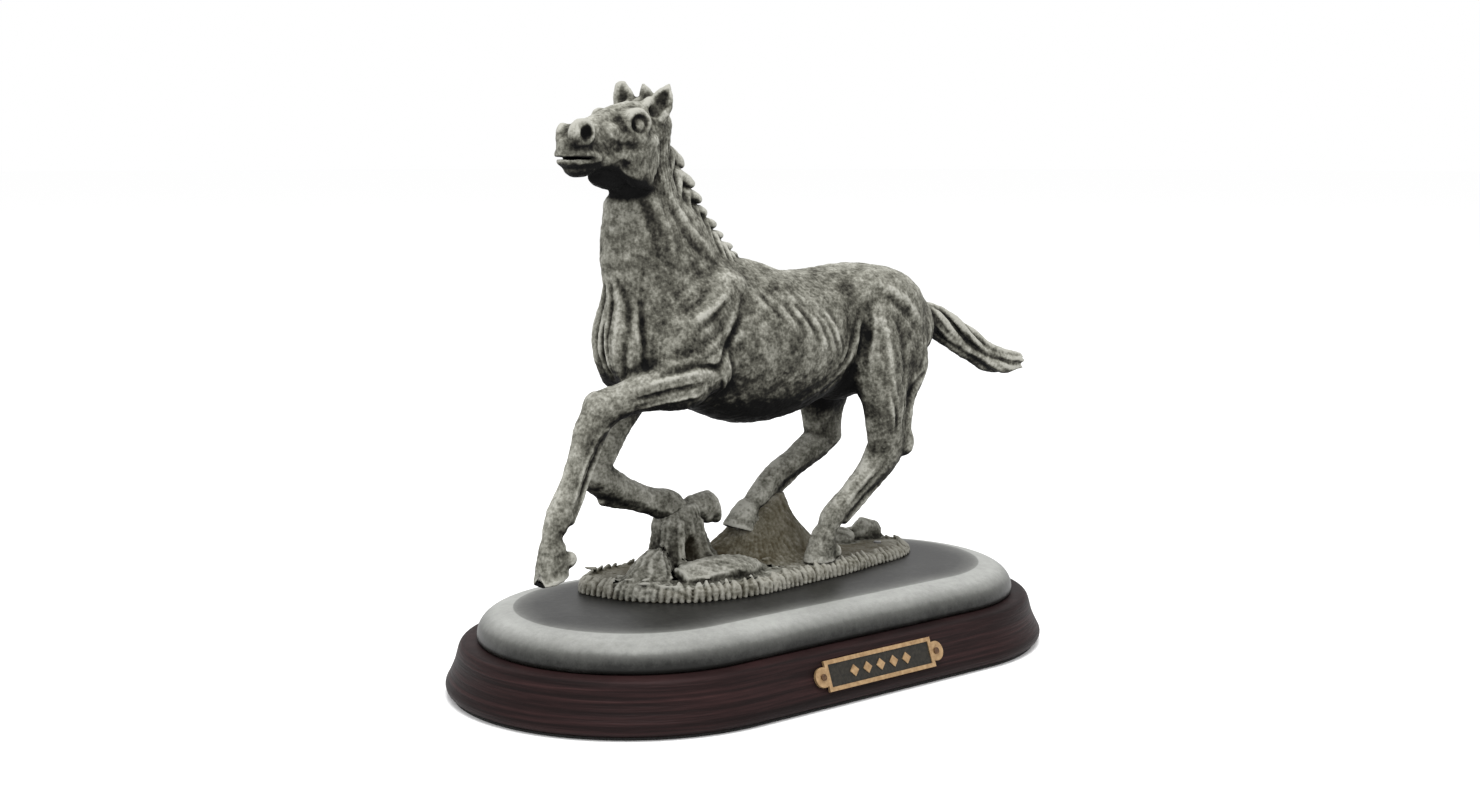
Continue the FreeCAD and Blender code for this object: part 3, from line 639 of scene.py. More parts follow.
def sculpt_head(field):
    rows = [on_head(f, 0.0, z) + (deep, wide) for f, z, deep, wide in HEAD]
    across = (-math.sin(HEAD_TURN), math.cos(HEAD_TURN), 0)
    field.join(limb(rows, 3.0, across), 3.5)

    # nasal bone and forehead
    field.join(head_rod([(10, 0, 205.2, 4.4), (22, 0, 204.4, 4.0), (34, 0, 201.4, 3.2),
                         (44, 0, 199.2, 2.8)]), 3.0)
    for side in (NEAR, FAR):
        # cheek plate, and the hollow under the jaw in front of it
        field.join(head_ellipsoid((17.0, side * 6.4, 189.4), (9.6, 3.4, 9.6)), 1.4)
        field.carve(head_ellipsoid((34.0, side * 7.6, 180.6), (11.5, 5.6, 5.8)), 1.2)
        # groove round the back of the cheek
        field.carve(head_rod([(6.5, side * 9.2, 196, 1.2), (5.6, side * 9.0, 189, 1.9),
                              (8.6, side * 9.0, 182.6, 2.2), (14.0, side * 8.4, 178.4, 2.0),
                              (21.0, side * 7.6, 178.0, 2.0)]), 1.2)
        # eye socket with its raised rim, eyeball and lids
        field.join(head_ellipsoid((20.8, side * 6.2, 202.4), (6.8, 3.4, 5.2)), 2.4)
        field.carve(head_ellipsoid((22.2, side * 10.2, 201.9), (4.6, 2.6, 3.8)), 0.9)
        field.join(head_rim((21.0, side * 8.3, 202.3), 4.5, 4.2, 1.05, side, 0.22), 1.5)
        field.join(head_ellipsoid((20.4, side * 7.9, 201.7), (2.5, 2.1, 2.6)), 0.3)
        # cheek bone, and the folds that run from it towards the nostril
        field.join(head_rod([(11, side * 7.6, 196.4, 1.6), (19, side * 8.2, 196.6, 1.7),
                             (27, side * 6.6, 197.4, 1.6), (34, side * 5.0, 198.8, 1.3)]), 2.6)
        field.join(head_rod([(16, side * 8.0, 192.2, 1.2), (24, side * 7.2, 191.6, 1.6),
                             (32, side * 5.4, 190.8, 1.5), (38, side * 5.0, 190.6, 1.3)]), 2.4)
        field.join(head_ellipsoid((31.5, side * 4.6, 200.6), (3.6, 2.2, 2.0)), 2.0)
        # lower edge of the jaw
        field.join(head_rod([(12, side * 6.6, 180.8, 1.0), (21, side * 6.8, 183.0, 1.0),
                             (29, side * 5.6, 187.4, 0.9), (36, side * 4.8, 188.8, 0.9),
                             (42, side * 4.4, 187.4, 1.0)]), 2.6)
        # nostril: flared rim and open hollow
        swell = 1.0 if side == NEAR else 0.62
        wing = (5.0 * swell, 2.9 * swell, 4.3 * swell)
        opening = (3.6 * swell, 2.6 * swell, 3.5 * swell)
        rim = head_rim((48.4, side * 5.2 * swell, 199.3), 4.0 * swell, 4.0 * swell, 0.68, side, 0.42)
        field.join(head_ellipsoid((48.2, side * 3.7 * swell, 199.0), wing, yaw=-side * 20), 2.6)
        field.carve(head_ellipsoid((48.2, side * 7.9 * swell, 199.3), opening, yaw=-side * 20), 0.8)
        field.join(rim, 1.8)
        # lips
        field.join(head_rod([(50.2, side * 1.5, 192.3, 1.5), (49.0, side * 4.4, 192.2, 1.4),
                             (44.6, side * 5.7, 192.0, 1.1), (40.2, side * 5.9, 191.4, 0.8)]), 1.8)
        field.join(head_rod([(50.2, side * 1.2, 189.9, 1.4), (48.6, side * 3.8, 189.7, 1.3),
                             (44.0, side * 5.2, 189.6, 1.0), (40.2, side * 5.8, 190.2, 0.8)]), 1.4)
        field.carve(head_rod([(48.5, side * 3.0, 187.2, 0.45), (45.0, side * 5.4, 187.2, 0.45),
                              (39.0, side * 6.2, 187.8, 0.45)]), 0.5)
    # skin under the jaw, lower jaw, chin and the open mouth
    field.join(head_ellipsoid((28.5, 0, 183.2), (9.5, 3.0, 3.2), pitch=8), 1.6)
    field.join(head_ellipsoid((43.6, 0, 187.4), (6.0, 4.6, 3.0), pitch=-4), 1.2)
    field.carve(head_ellipsoid((48.0, 0, 190.8), (8.0, 8.0, 0.40), pitch=2), 0.3)
    # ears: cupped leaves
    ear(field, on_head(6.5, -5.4, 204.8), on_head(3.2, -9.2, 216.2), (-0.80, -0.55, 0.1),
        1.3, 1.0, 0.35)
    ear(field, on_head(8.0, 5.4, 205.4), on_head(7.6, 8.8, 216.2), (-0.70, -0.70, 0.1),
        1.15, 0.5, 1.9)
    # forelock
    field.join(head_rod([(0.0, 0.2, 206.0, 4.2), (3.0, 0.3, 211.0, 3.0), (4.9, 0.5, 214.2, 1.5),
                         (5.4, 0.5, 215.8, 0.6)]), 1.4)
    for side, lean, size in ((0.8, 0.5, 1.1), (-2.6, -0.6, 1.0), (3.4, 1.6, 0.9)):
        lock = [(2.6, side, 209.4, 2.6 * size), (7.5, side + lean * 0.6, 209.4, 2.0 * size),
                (12.5, side + lean, 207.6, 0.7)]
        field.join(head_rod(lock), 0.8)


def ear(field, root, tip, faces, broad, deep, blunt):
    """A leaf-shaped ear with its hollow towards the given direction."""
    root, tip, faces = [np.array(v, float) for v in (root, tip, faces)]
    spine = tip - root
    length = np.linalg.norm(spine)
    spine /= length
    faces -= spine * (faces @ spine)
    faces /= np.linalg.norm(faces)
    rows = []
    for share, wide, thick in ((0.0, 3.1, 2.4), (0.3, 3.5, 2.2), (0.6, 2.6 + 0.3 * blunt, 1.7),
                               (0.96, blunt, 0.4 + 0.3 * blunt)):
        rows.append(tuple(root + spine * length * share) + (wide * broad, thick))
    field.join(limb(rows, 1.2, tuple(faces)), 1.4)
    hollow = []
    for share, wide, thick in ((0.12, 2.2, 1.5), (0.35, 2.6, 1.6), (0.62, 1.8, 1.2), (0.88, 0.4, 0.4)):
        centre = root + spine * length * share + faces * (2.4 - 0.9 * share)
        hollow.append(tuple(centre) + (wide * broad, thick * deep))
    field.carve(limb(hollow, 1.2, tuple(faces)), 0.5)


def sculpt_mane(field):
    """Separate curling tufts that stand up along the crest."""
    rows = spline_row(CREST, 1.0)
    length = len(rows) - 1
    at = 15.5
    while at < length:
        size = 1.36 - 0.80 * at / length
        a = rows[int(at)]
        down = rows[min(int(at) + 3, length)] - rows[max(int(at) - 3, 0)]
        down /= np.linalg.norm(down)
        out = np.array((-down[1], down[0]))
        lean = rng.uniform(-0.9, 0.6)
        points = []
        for along, beyond, radius in ((-2.8, -1.8, 2.9), (0.4, 1.0, 2.5), (2.4, 2.5, 2.2),
                                      (3.4, 3.2, 1.7)):
            x, z = a + (down * along + out * beyond) * size
            points.append((x, lean * (along + 2.5) * 0.25, z, radius * size))
        field.join(rod(points), 0.5)
        for side in (NEAR, FAR):
            sweep = []
            drift = rng.uniform(-1.0, 1.0)
            for along, beyond, out_side, radius in ((-1.5, -1.0, 1.6, 2.0), (2.2, -3.8, 3.6, 1.7),
                                                    (6.0 + drift, -7.0, 5.4, 1.2),
                                                    (10.0 + drift, -10.0, 6.6, 0.5)):
                x, z = a + (down * along + out * beyond) * size
                sweep.append((x, side * out_side * (0.75 + 0.35 * at / length), z, radius * size))
            field.join(rod(sweep), 0.6)
        at += 1.6 + 5.3 * size


def sculpt_tail(field):
    """A core with strands that wind loosely round it."""
    rows = spline_row(TAIL, 3.0)
    core = rows.copy()
    core[:, 3:] *= 0.72
    field.join([link(a, b) for a, b in zip(core, core[1:])], 3.0)
    strands = 9
    for k in range(strands):
        phase = 2 * np.pi * k / strands + rng.uniform(-0.2, 0.2)
        twist = rng.uniform(0.6, 1.3)
        points = []
        for i, (x, y, z, deep, wide) in enumerate(rows[1:]):
            share = i / (len(rows) - 2)
            angle = phase + twist * share + 0.35 * math.sin(9 * share + k)
            spread = 0.80 + 0.10 * math.sin(6 * share + 2 * k)
            radius = 1.75 - 0.7 * share ** 3
            dy = math.cos(angle) * wide * spread
            dz = math.sin(angle) * deep * spread
            points.append((x + 0.35 * dz, y + dy, z + dz, radius))
        last = points[-1]
        points.append((last[0] + rng.uniform(1.0, 3.0), last[1], last[2] - 0.6, 0.6))
        field.join(rod(points, 2.0), 0.7)


def horse_field(step):
    """The whole horse as one field; the grid is finer round the head and the lower legs."""
    fine = 0.75 * step
    field = Field(
        [(-104.0, -45.0, fine), (-45.0, 146.0, step)],
        [(-26.0, 26.0, 0.9 * step)],
        [(36.0, 72.0, fine), (72.0, 176.0, step), (176.0, 220.0, fine)],
    )
    sculpt_trunk(field)
    sculpt_limbs(field)
    hoof(field, (-98.4, -4.7, 56.5), (-98.6, -4.2, 45.6), (-92.6, -4.6, 53.0), (0.25, 0, -1))
    hoof(field, (-20.5, 13.0, 59.4), (-11.0, 13.0, 59.2), (-15.5, 13.0, 56.2), (1, 0, 0.3))
    hoof(field, (24.8, -10.0, 45.8), (22.8, -10.0, 36.6), (29.0, -10.2, 40.0), (0, 0, -1))
    hoof(field, (3.4, 10.4, 55.6), (-0.6, 10.0, 49.2), (6.5, 10.4, 51.5), (-0.35, 0, -1))
    sculpt_head(field)
    sculpt_mane(field)
    sculpt_tail(field)
    return field


# ------------------------------------------------------------------ castings


def islands(count, pairs):
    """A number for each item that is the same for all items connected by the pairs."""
    root = np.arange(count)
    while True:
        a, b = root[pairs[:, 0]], root[pairs[:, 1]]
        low = np.minimum(a, b)
        linked = root.copy()
        np.minimum.at(linked, a, low)
        np.minimum.at(linked, b, low)
        linked = linked[linked[linked]]
        if (linked == root).all():
            return root
        root = linked


def neighbours(faces):
    """Pairs of faces that share an edge."""
    count = len(faces)
    edges = np.concatenate([faces[:, [i, (i + 1) % 4]] for i in range(4)])
    edges.sort(axis=1)
    owner = np.tile(np.arange(count), 4)
    order = np.lexsort((edges[:, 1], edges[:, 0]))
    edges, owner = edges[order], owner[order]
    same = (edges[1:] == edges[:-1]).all(1)
    return np.stack([owner[:-1][same], owner[1:][same]], 1)


def whole_parts(labels, pairs):
    """Labels tidied so that each one covers a single connected patch."""
    for _ in range(3):
        inside = pairs[labels[pairs[:, 0]] == labels[pairs[:, 1]]]
        patch = islands(len(labels), inside)
        sizes = np.bincount(patch, minlength=len(labels))
        loose = np.zeros(len(labels), bool)
        for value in np.unique(labels):
            mine = labels == value
            largest = np.argmax(np.where(np.bincount(patch[mine], minlength=len(labels)) > 0, sizes, 0))
            loose |= mine & (patch != largest)
        while loose.any():
            a, b = pairs[loose[pairs[:, 0]] & ~loose[pairs[:, 1]]].T
            c, d = pairs[loose[pairs[:, 1]] & ~loose[pairs[:, 0]]].T
            taken, given = np.concatenate([a, d]), np.concatenate([b, c])
            if not len(taken):
                break
            labels[taken] = labels[given]
            loose[taken] = False
    return labels


def nearest_casting(points, groups):
    """Which group of shapes each point is nearest to."""
    best = np.full(len(points), 1e6)
    labels = np.zeros(len(points), int)
    for number, shapes in enumerate(groups):
        for shape in shapes:
            close = ((points > shape.low - 12) & (points < shape.high + 12)).all(1)
            near = np.flatnonzero(close)
            found = shape.distance(*points[near].T)
            better = found < best[near]
            best[near[better]] = found[better]
            labels[near[better]] = number
    return labels


def add_mesh(name, points, faces, material):
    """A smooth object from points in millimetres."""
    mesh = bpy.data.meshes.new(name)
    mesh.from_pydata((np.asarray(points) * MM).tolist(), [], [list(f) for f in faces])
    mesh.polygons.foreach_set("use_smooth", [True] * len(mesh.polygons))
    mesh.materials.append(material)
    thing = bpy.data.objects.new(name, mesh)
    bpy.context.scene.collection.objects.link(thing)
    return thing


def add_values(thing, **values):
    """Store a number per vertex under each name, for the material to read."""
    for name, numbers in values.items():
        layer = thing.data.attributes.new(name, "FLOAT", "POINT")
        layer.data.foreach_set("value", np.asarray(numbers, np.float32))


def finish_piece(thing, slot, *nodes):
    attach(thing, "root")
    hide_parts(*nodes)


def rim_loops(faces):
    """The open rims of a set of faces, each as a list of vertices in order."""
    edges = np.concatenate([faces[:, [i, (i + 1) % 4]] for i in range(4)])
    known = set(map(tuple, edges.tolist()))
    following = {}
    for a, b in known:
        if (b, a) not in known:
            following.setdefault(b, []).append(a)
    loops = []
    while following:
        start = next(iter(following))
        loop = [start]
        while True:
            onward = following.get(loop[-1])
            if not onward:
                break
            step = onward.pop()
            if not onward:
                del following[loop[-1]]
            if step == start:
                break
            loop.append(step)
        loops.append(loop)
    return loops


# How far the hidden cut faces of the ground's pieces dip below their rims.
CAP_SINK = 3.0


def split(skin, labels, castings, material, slot, values, lowest=None):
    """One closed piece per casting; the cut faces are hidden where castings meet.

    Given a lowest level, the cut faces dip below their rims towards it.
    """
    normals = skin.normals()
    for number, name in enumerate(castings):
        faces = skin.faces[labels == number]
        caps = []
        centres = []
        for loop in rim_loops(faces):
            centre = len(skin.points) + len(centres)
            middle = skin.points[loop].mean(0)
            if lowest is not None:
                middle[2] = max(skin.points[loop][:, 2].min() - CAP_SINK, lowest)
            centres.append(middle)
            caps += [(a, b, centre) for a, b in zip(loop, loop[1:] + loop[:1])]
        used = np.unique(faces)
        shift = np.full(len(skin.points) + len(centres), -1)
        shift[used] = np.arange(len(used))
        shift[len(skin.points):] = len(used) + np.arange(len(centres))
        extra = np.array(centres).reshape(-1, 3)
        points = np.concatenate([skin.points[used], extra])
        all_faces = shift[faces].tolist() + [shift[list(cap)].tolist() for cap in caps]
        piece = add_mesh("sculpted_" + name, points, all_faces, material)
        out = np.concatenate([normals[used], np.tile((0.0, 0.0, 1.0), (len(centres), 1))])
        piece.data.normals_split_custom_set_from_vertices(out.tolist())
        for key, numbers in values.items():
            add_values(piece, **{key: np.concatenate([numbers[used], np.zeros(len(centres))])})
        finish_piece(piece, slot, name)


def only_largest(skin):
    """Drop specks that aren't joined to the rest."""
    patch = islands(len(skin.faces), neighbours(skin.faces))
    keep = patch == np.argmax(np.bincount(patch))
    skin.faces = skin.faces[keep]


def crowding(field, points, normals, reach, blur):
    """How full the space just outside each vertex is, from 0 in the open to 1."""
    solid = (field.values[::2, ::2, ::2] < 0).astype(np.float32)
    for axis in range(3):
        for _ in range(2):
            wide = np.pad(solid, [(blur + 1, blur) if a == axis else (0, 0) for a in range(3)])
            total = np.cumsum(wide, axis=axis, dtype=np.float64)
            upper = [slice(None)] * 3
            lower = [slice(None)] * 3
            upper[axis] = slice(2 * blur + 1, None)
            lower[axis] = slice(None, -2 * blur - 1)
            solid = ((total[tuple(upper)] - total[tuple(lower)]) / (2 * blur + 1)).astype(np.float32)
    place = points + normals * reach
    index = tuple(
        np.clip(np.searchsorted(axis[::2], p), 0, len(axis[::2]) - 1)
        for axis, p in zip(field.axes, place.T)
    )
    return solid[index]


# ------------------------------------------------------------------ materials


class Shader:
    """A material being built from procedural nodes."""

    def __init__(self, name, roughness, metallic=0.0, shine=0.5):
        self.material = bpy.data.materials.new(name)
        self.material.use_nodes = True
        self.tree = self.material.node_tree
        self.surface = self.tree.nodes["Principled BSDF"]
        self.surface.inputs["Roughness"].default_value = roughness
        self.surface.inputs["Metallic"].default_value = metallic
        self.surface.inputs["Specular IOR Level"].default_value = shine
        self.place = self.tree.nodes.new("ShaderNodeTexCoord").outputs["Object"]

    def put(self, socket, value):
        if isinstance(value, bpy.types.NodeSocket):
            self.tree.links.new(value, socket)
        else:
            socket.default_value = value

    def value(self, name):
        node = self.tree.nodes.new("ShaderNodeAttribute")
        node.attribute_name = name
        return node.outputs["Fac"]

    def math(self, operation, a, b=0.0, c=0.0):
        node = self.tree.nodes.new("ShaderNodeMath")
        node.operation = operation
        for socket, value in zip(node.inputs, (a, b, c)):
            self.put(socket, value)
        return node.outputs[0]

    def add(self, *terms):
        """The sum of numbers and of (socket, factor) pairs."""
        total = 0.0
        for term in terms:
            if isinstance(term, tuple):
                total = self.math("MULTIPLY_ADD", term[0], term[1], total)
            else:
                total = self.math("ADD", total, term)
        return total

    def noise(self, size, detail=3.0, stretch=(1, 1, 1)):
        """Noise between about -1 and 1 with features of the given size in millimetres."""
        scale = self.tree.nodes.new("ShaderNodeMapping")
        scale.inputs["Scale"].default_value = [s / (size * MM) for s in stretch]
        self.put(scale.inputs["Vector"], self.place)
        node = self.tree.nodes.new("ShaderNodeTexNoise")
        node.inputs["Scale"].default_value = 1.0
        node.inputs["Detail"].default_value = detail
        self.put(node.inputs["Vector"], scale.outputs[0])
        return self.math("MULTIPLY_ADD", node.outputs["Fac"], 4.0, -2.0)

    def ramp(self, value, *stops):
        node = self.tree.nodes.new("ShaderNodeValToRGB")
        while len(node.color_ramp.elements) < len(stops):
            node.color_ramp.elements.new(1.0)
        for element, (place, colour) in zip(node.color_ramp.elements, stops):
            element.position = place
            element.color = (*colour, 1.0)
        self.put(node.inputs[0], value)
        return node.outputs[0]

    def mix(self, share, first, second):
        node = self.tree.nodes.new("ShaderNodeMix")
        node.data_type = "RGBA"
        self.put(node.inputs[0], share)
        self.put(node.inputs[6], first)
        self.put(node.inputs[7], second)
        return node.outputs[2]

    def colour(self, value):
        self.put(self.surface.inputs["Base Color"], value)

    def bump(self, height, depth):
        """Fine relief of about the given depth in millimetres."""
        node = self.tree.nodes.new("ShaderNodeBump")
        node.inputs["Distance"].default_value = depth * MM
        self.put(node.inputs["Height"], height)
        self.put(self.surface.inputs["Normal"], node.outputs[0])


def patina_and_painted_shade(name, wash):
    """Antiqued pewter: pale ridges, near-black hollows, a brown wash where it is stained, and painted
    shade in crowded places, in the shade patches and on faces turned down.
    """
    shader = Shader(name, 0.68, 0.0, 0.06)
    facing = shader.tree.nodes.new("ShaderNodeNewGeometry").outputs["Normal"]
    split_normal = shader.tree.nodes.new("ShaderNodeSeparateXYZ")
    shader.put(split_normal.inputs[0], facing)
    fine_specks = shader.noise(1.1, 4.0)
    patches = shader.noise(6.0, 4.0)
    drifts = shader.noise(17.0, 3.0)
    level = shader.add(
        0.75,
        (shader.value("fine"), -0.25),
        (shader.value("broad"), -0.17),
        # painted shade: occlusion from crowding plus the painted shade patches
        (shader.value("shade"), -0.85),
        (fine_specks, 0.20),
        (patches, 0.19),
        (drifts, 0.14),
        # painted shade on faces turned down, and faces turned up painted a little lighter
        (split_normal.outputs["Z"], 0.10),
        (shader.math("MAXIMUM", shader.add(-0.25, (split_normal.outputs["Z"], -1.0)), 0.0), -1.15),
    )
    grey = shader.ramp(
        level,
        (0.02, (0.003, 0.003, 0.003)),
        (0.28, (0.022, 0.021, 0.017)),
        (0.52, (0.078, 0.076, 0.062)),
        (0.76, (0.185, 0.182, 0.155)),
        (1.00, (0.330, 0.326, 0.290)),
    )
    brown = (0.066, 0.051, 0.024, 1.0)
    share = shader.math("MULTIPLY", shader.value("stain"), wash)
    shader.colour(shader.mix(share, grey, brown))
    shader.bump(shader.add((fine_specks, 0.6), (patches, 0.4)), 0.12)
    return shader.material


statue_metal = patina_and_painted_shade("antiqued_pewter", 0.0)
terrain_metal = patina_and_painted_shade("antiqued_ground", 0.62)

wood = Shader("dark_mahogany", 0.55, 0.0, 0.08)
streaks = wood.noise(1.1, 3.0, (0.02, 0.02, 1.0))
bands = wood.noise(3.4, 2.0, (0.012, 0.012, 1.0))
pores = wood.noise(0.5, 2.0, (0.06, 0.06, 1.0))
wood.colour(wood.ramp(
    wood.add(0.5, (streaks, 0.26), (bands, 0.24), (pores, 0.08)),
    (0.05, (0.003, 0.002, 0.002)),
    (0.45, (0.010, 0.005, 0.005)),
    (0.75, (0.022, 0.010, 0.010)),
    (1.00, (0.042, 0.020, 0.019)),
))
wood.bump(wood.add((streaks, 0.6), (pores, 0.5)), 0.10)

satin = Shader("satin_silver", 0.45, 0.15, 0.25)
marks = satin.noise(2.6, 5.0)
clouds = satin.noise(30.0, 3.0)
grain = satin.noise(0.7, 2.0)
# The cap's colour follows its painted light: painted shade in the seam, a painted highlight along the
# shoulder, a painted reflection greying the top.
satin.colour(satin.ramp(
    satin.add((satin.value("bright"), 1.0), (clouds, 0.05), (marks, 0.035), (grain, 0.02)),
    (0.00, (0.010, 0.010, 0.009)),
    (0.25, (0.075, 0.076, 0.070)),
    (0.50, (0.210, 0.213, 0.200)),
    (0.75, (0.430, 0.436, 0.415)),
    (1.00, (0.800, 0.805, 0.780)),
))
satin.bump(satin.add((marks, 0.3), (grain, 0.2)), 0.03)


def mottled(name, surface, size, detail, contrast, relief, *stops):
    """A finish whose colour and relief follow one noise."""
    shader = Shader(name, *surface)
    spots = shader.noise(size, detail)
    shader.colour(shader.ramp(shader.add(0.5, (spots, contrast)), *stops))
    shader.bump(spots, relief)
    return shader.material


felt_black = mottled("black_felt", (0.95,), 0.6, 4.0, 0.4, 0.25,
                     (0.1, (0.004, 0.004, 0.004)), (0.9, (0.022, 0.022, 0.021)))
gold = mottled("antique_brass", (0.42, 0.55), 1.6, 4.0, 0.3, 0.05, (0.1, (0.20, 0.115, 0.050)),
               (0.6, (0.36, 0.235, 0.120)), (0.95, (0.48, 0.330, 0.190)))
enamel = mottled("black_enamel", (0.45, 0.0, 0.2), 1.2, 4.0, 0.3, 0.04,
                 (0.1, (0.005, 0.005, 0.004)), (0.95, (0.028, 0.024, 0.018)))
tack = mottled("dark_tack_brass", (0.5, 0.5), 0.8, 3.0, 0.3, 0.05,
               (0.1, (0.030, 0.014, 0.006)), (0.9, (0.140, 0.070, 0.030)))
steel = mottled("turned_steel", (0.35, 0.9), 0.8, 3.0, 0.3, 0.02,
                (0.1, (0.22, 0.22, 0.22)), (0.9, (0.42, 0.42, 0.43)))

# ------------------------------------------------------------------ surface of the horse

RIBS = [
    [(-19, 144), (-14, 140), (-9, 134)],
    [(-15, 144), (-5, 137), (1, 127)],
    [(-7, 143), (2, 135), (9, 123)],
    [(-1, 142), (10, 131), (15, 120)],
    [(4, 141), (14, 131), (20, 119)],
    [(9, 140), (19, 130), (24, 119)],
]
# Ridges and grooves of either flank: a line of x, z points, its width and its height.
FLANK_LINES = [
    ([(38, 135), (35, 127), (31, 118), (26, 110), (19, 104)], 2.2, -1.0),
    ([(41, 134), (41, 125), (39, 114), (39, 104)], 1.8, -1.3),
    ([(37, 130), (36, 121), (35, 113)], 1.4, 0.7),
    ([(37, 123), (30, 112), (21, 106), (11, 101), (2, 98)], 2.6, 0.8),
    ([(33, 119), (27, 108), (19, 102), (8, 97)], 2.0, -0.6),
    ([(45, 133), (47, 121), (48, 109), (50, 97), (50, 88)], 3.0, 1.1),
    ([(53, 130), (56, 118), (56, 106), (54, 96)], 3.4, -0.9),
    ([(61, 98), (67, 104), (73, 106)], 2.2, -1.1),
    ([(79, 128), (80, 120), (76, 111), (70, 103)], 2.6, 0.9),
    ([(70, 126), (70, 116), (66, 106)], 2.6, -0.6),
    ([(46, 142), (60, 135), (66, 129), (71, 123)], 3.0, 0.8),
    ([(49, 137), (60, 130), (65, 123)], 2.6, -0.6),
    ([(-28, 144), (-37, 138), (-44, 135), (-49, 132)], 2.4, 0.9),
    ([(-31, 140), (-38, 134), (-46, 130)], 2.0, -0.8),
    ([(-38, 148), (-46, 143), (-53, 138)], 2.6, 0.8),
    ([(-36, 145), (-45, 139), (-52, 135)], 2.0, -0.7),
    ([(-25, 140), (-30, 131), (-38, 125), (-48, 121), (-60, 119)], 2.6, 0.9),
    ([(-22, 141), (-26, 131), (-33, 122), (-38, 117), (-48, 118), (-60, 116)], 2.2, -1.3),
    ([(-33, 107), (-37, 115), (-44, 119)], 1.8, -0.9),
    ([(-38, 115), (-34, 112), (-32, 106), (-35, 100)], 2.0, 0.9),
    ([(-28, 130), (-30, 122), (-28, 113), (-30, 104)], 2.2, -1.0),
    ([(-63, 142), (-64, 133), (-64, 124), (-64, 116)], 2.2, -1.7),
    ([(-69, 135), (-69, 126), (-68, 117)], 1.6, 0.8),
    ([(-60, 180), (-52, 167), (-50, 155), (-50, 146)], 4.0, 1.0),
    ([(-64, 180), (-58, 168), (-56, 156), (-57, 147)], 3.4, -0.8),
    ([(-57, 186), (-47, 170), (-42, 162), (-32, 152)], 3.4, -0.8),
    ([(-52, 186), (-44, 171), (-36, 162), (-26, 153)], 2.6, 0.8),
]
# Lengthwise ridges and grooves of the legs, drawn the same way.
LEG_LINES = {
    NEAR: [
        ([(-45, 112), (-58, 110), (-72, 107)], 1.5, -0.8),
        ([(-45, 116), (-60, 114), (-73, 110)], 1.5, 0.6),
        ([(-46, 108), (-60, 106), (-72, 103)], 1.4, 0.6),
        ([(-82, 97), (-88, 84), (-93, 72)], 1.1, 0.5),
        ([(-80, 95), (-85, 83), (-90, 71)], 0.9, -0.6),
        ([(49, 100), (51, 92), (54, 84)], 1.4, -0.7),
        ([(46, 106), (48, 96), (51, 87)], 1.5, 0.7),
        ([(57, 98), (58, 90), (59, 84)], 1.2, -0.8),
        ([(50, 72), (41, 64), (33, 57)], 1.0, -0.6),
        ([(49, 75), (40, 66), (31, 58)], 1.0, 0.5),
    ],
    FAR: [
        ([(45, 98), (44, 90), (45, 83)], 1.4, -0.7),
        ([(35, 74), (26, 70), (17, 65)], 1.0, -0.5),
        ([(-55, 69), (-45, 66), (-37, 64)], 1.0, -0.5),
    ],
}


def draw_lines(skin):
    """Ribs, muscle edges and skin folds pressed into the surface."""
    normals = skin.normals()
    height = np.zeros(len(skin.points))
    for side in (NEAR, FAR):
        facing = np.clip(normals[:, 1] * side * 2.2 + 0.15, 0, 1) * (skin.points[:, 1] * side > 1)
        for line in RIBS:
            height += stroke(skin.points, line, 3.0) * facing * 0.60
            between = [(x + 3.4, z - 2.0) for x, z in line]
            height -= stroke(skin.points, between, 2.6) * facing * 0.45
        for line, width, rise in FLANK_LINES:
            height += stroke(skin.points, line, width) * facing * rise * 0.72
        for line, width, rise in LEG_LINES[side]:
            height += stroke(skin.points, line, width) * facing * rise
    front = np.clip(-normals[:, 0] * 2 - 0.2, 0, 1)
    for y, width, rise in ((-8.5, 1.8, -1.2), (-5.5, 1.8, 0.7), (-2.7, 1.4, -0.9), (2.7, 1.4, -0.9),
                           (5.5, 1.8, 0.7), (9.0, 1.8, -1.2)):
        line = [(y * 0.5, 148), (y, 137), (y * 1.1, 126), (y * 0.9, 113)]
        height += stroke(skin.points, line, width, (1, 2)) * front * rise
    skin.press(height)


def draw_skin(skin):
    """Small unevenness all over, and hair strands down the throat and the upper neck."""
    points = skin.points
    height = 0.16 * waves(points, 6.5, 3) + 0.10 * waves(points, 3.0, 4)
    strands = np.sin(points[:, 0] * 3.6 + 1.6 * waves(points, 14.0, 5) + points[:, 2] * 0.5)
    behind_cheek = np.exp(-((points[:, 0] + 50) / 7) ** 2 - ((points[:, 2] - 186) / 16) ** 2)
    height += 0.22 * strands * behind_cheek
    skin.press(height)


# Painted shade, nearly black under the jaw and the belly, between the legs and inside the ears, and
# darker over the muzzle, the near forearm and by the near eye: centre, reach along each axis, strength.
SHADE_PATCHES = [
    (on_head(24, -1, 180.0), (13, 11, 3.8), 2.4),
    (on_head(37, -1, 180.6), (11, 11, 6.4), 2.4),
    ((-66, 0, 181.5), (7, 10, 4.0), 0.7),
    ((-60, -13, 109), (22, 8, 9), 0.24),
    ((5, 0, 94), (42, 26, 6.0), 1.35),
    ((44, -2, 98.5), (10, 9, 5.2), 3.0),
    ((-52, -4, 101), (12, 12, 6), 1.2),
    ((43, 3, 97), (13, 8, 9), 0.8),
    ((-66, 6, 112), (6, 7, 10), 0.5),
    (on_head(46, -1, 195), (9, 10, 9), 0.42),
    (on_head(25.5, -8.0, 204.0), (4.5, 4.0, 3.6), 0.26),
    (on_head(4.6, -9.0, 211.0), (3.4, 3.4, 5.0), 0.85),
    (on_head(7.4, 7.4, 211.0), (3.4, 3.4, 5.0), 0.70),
]


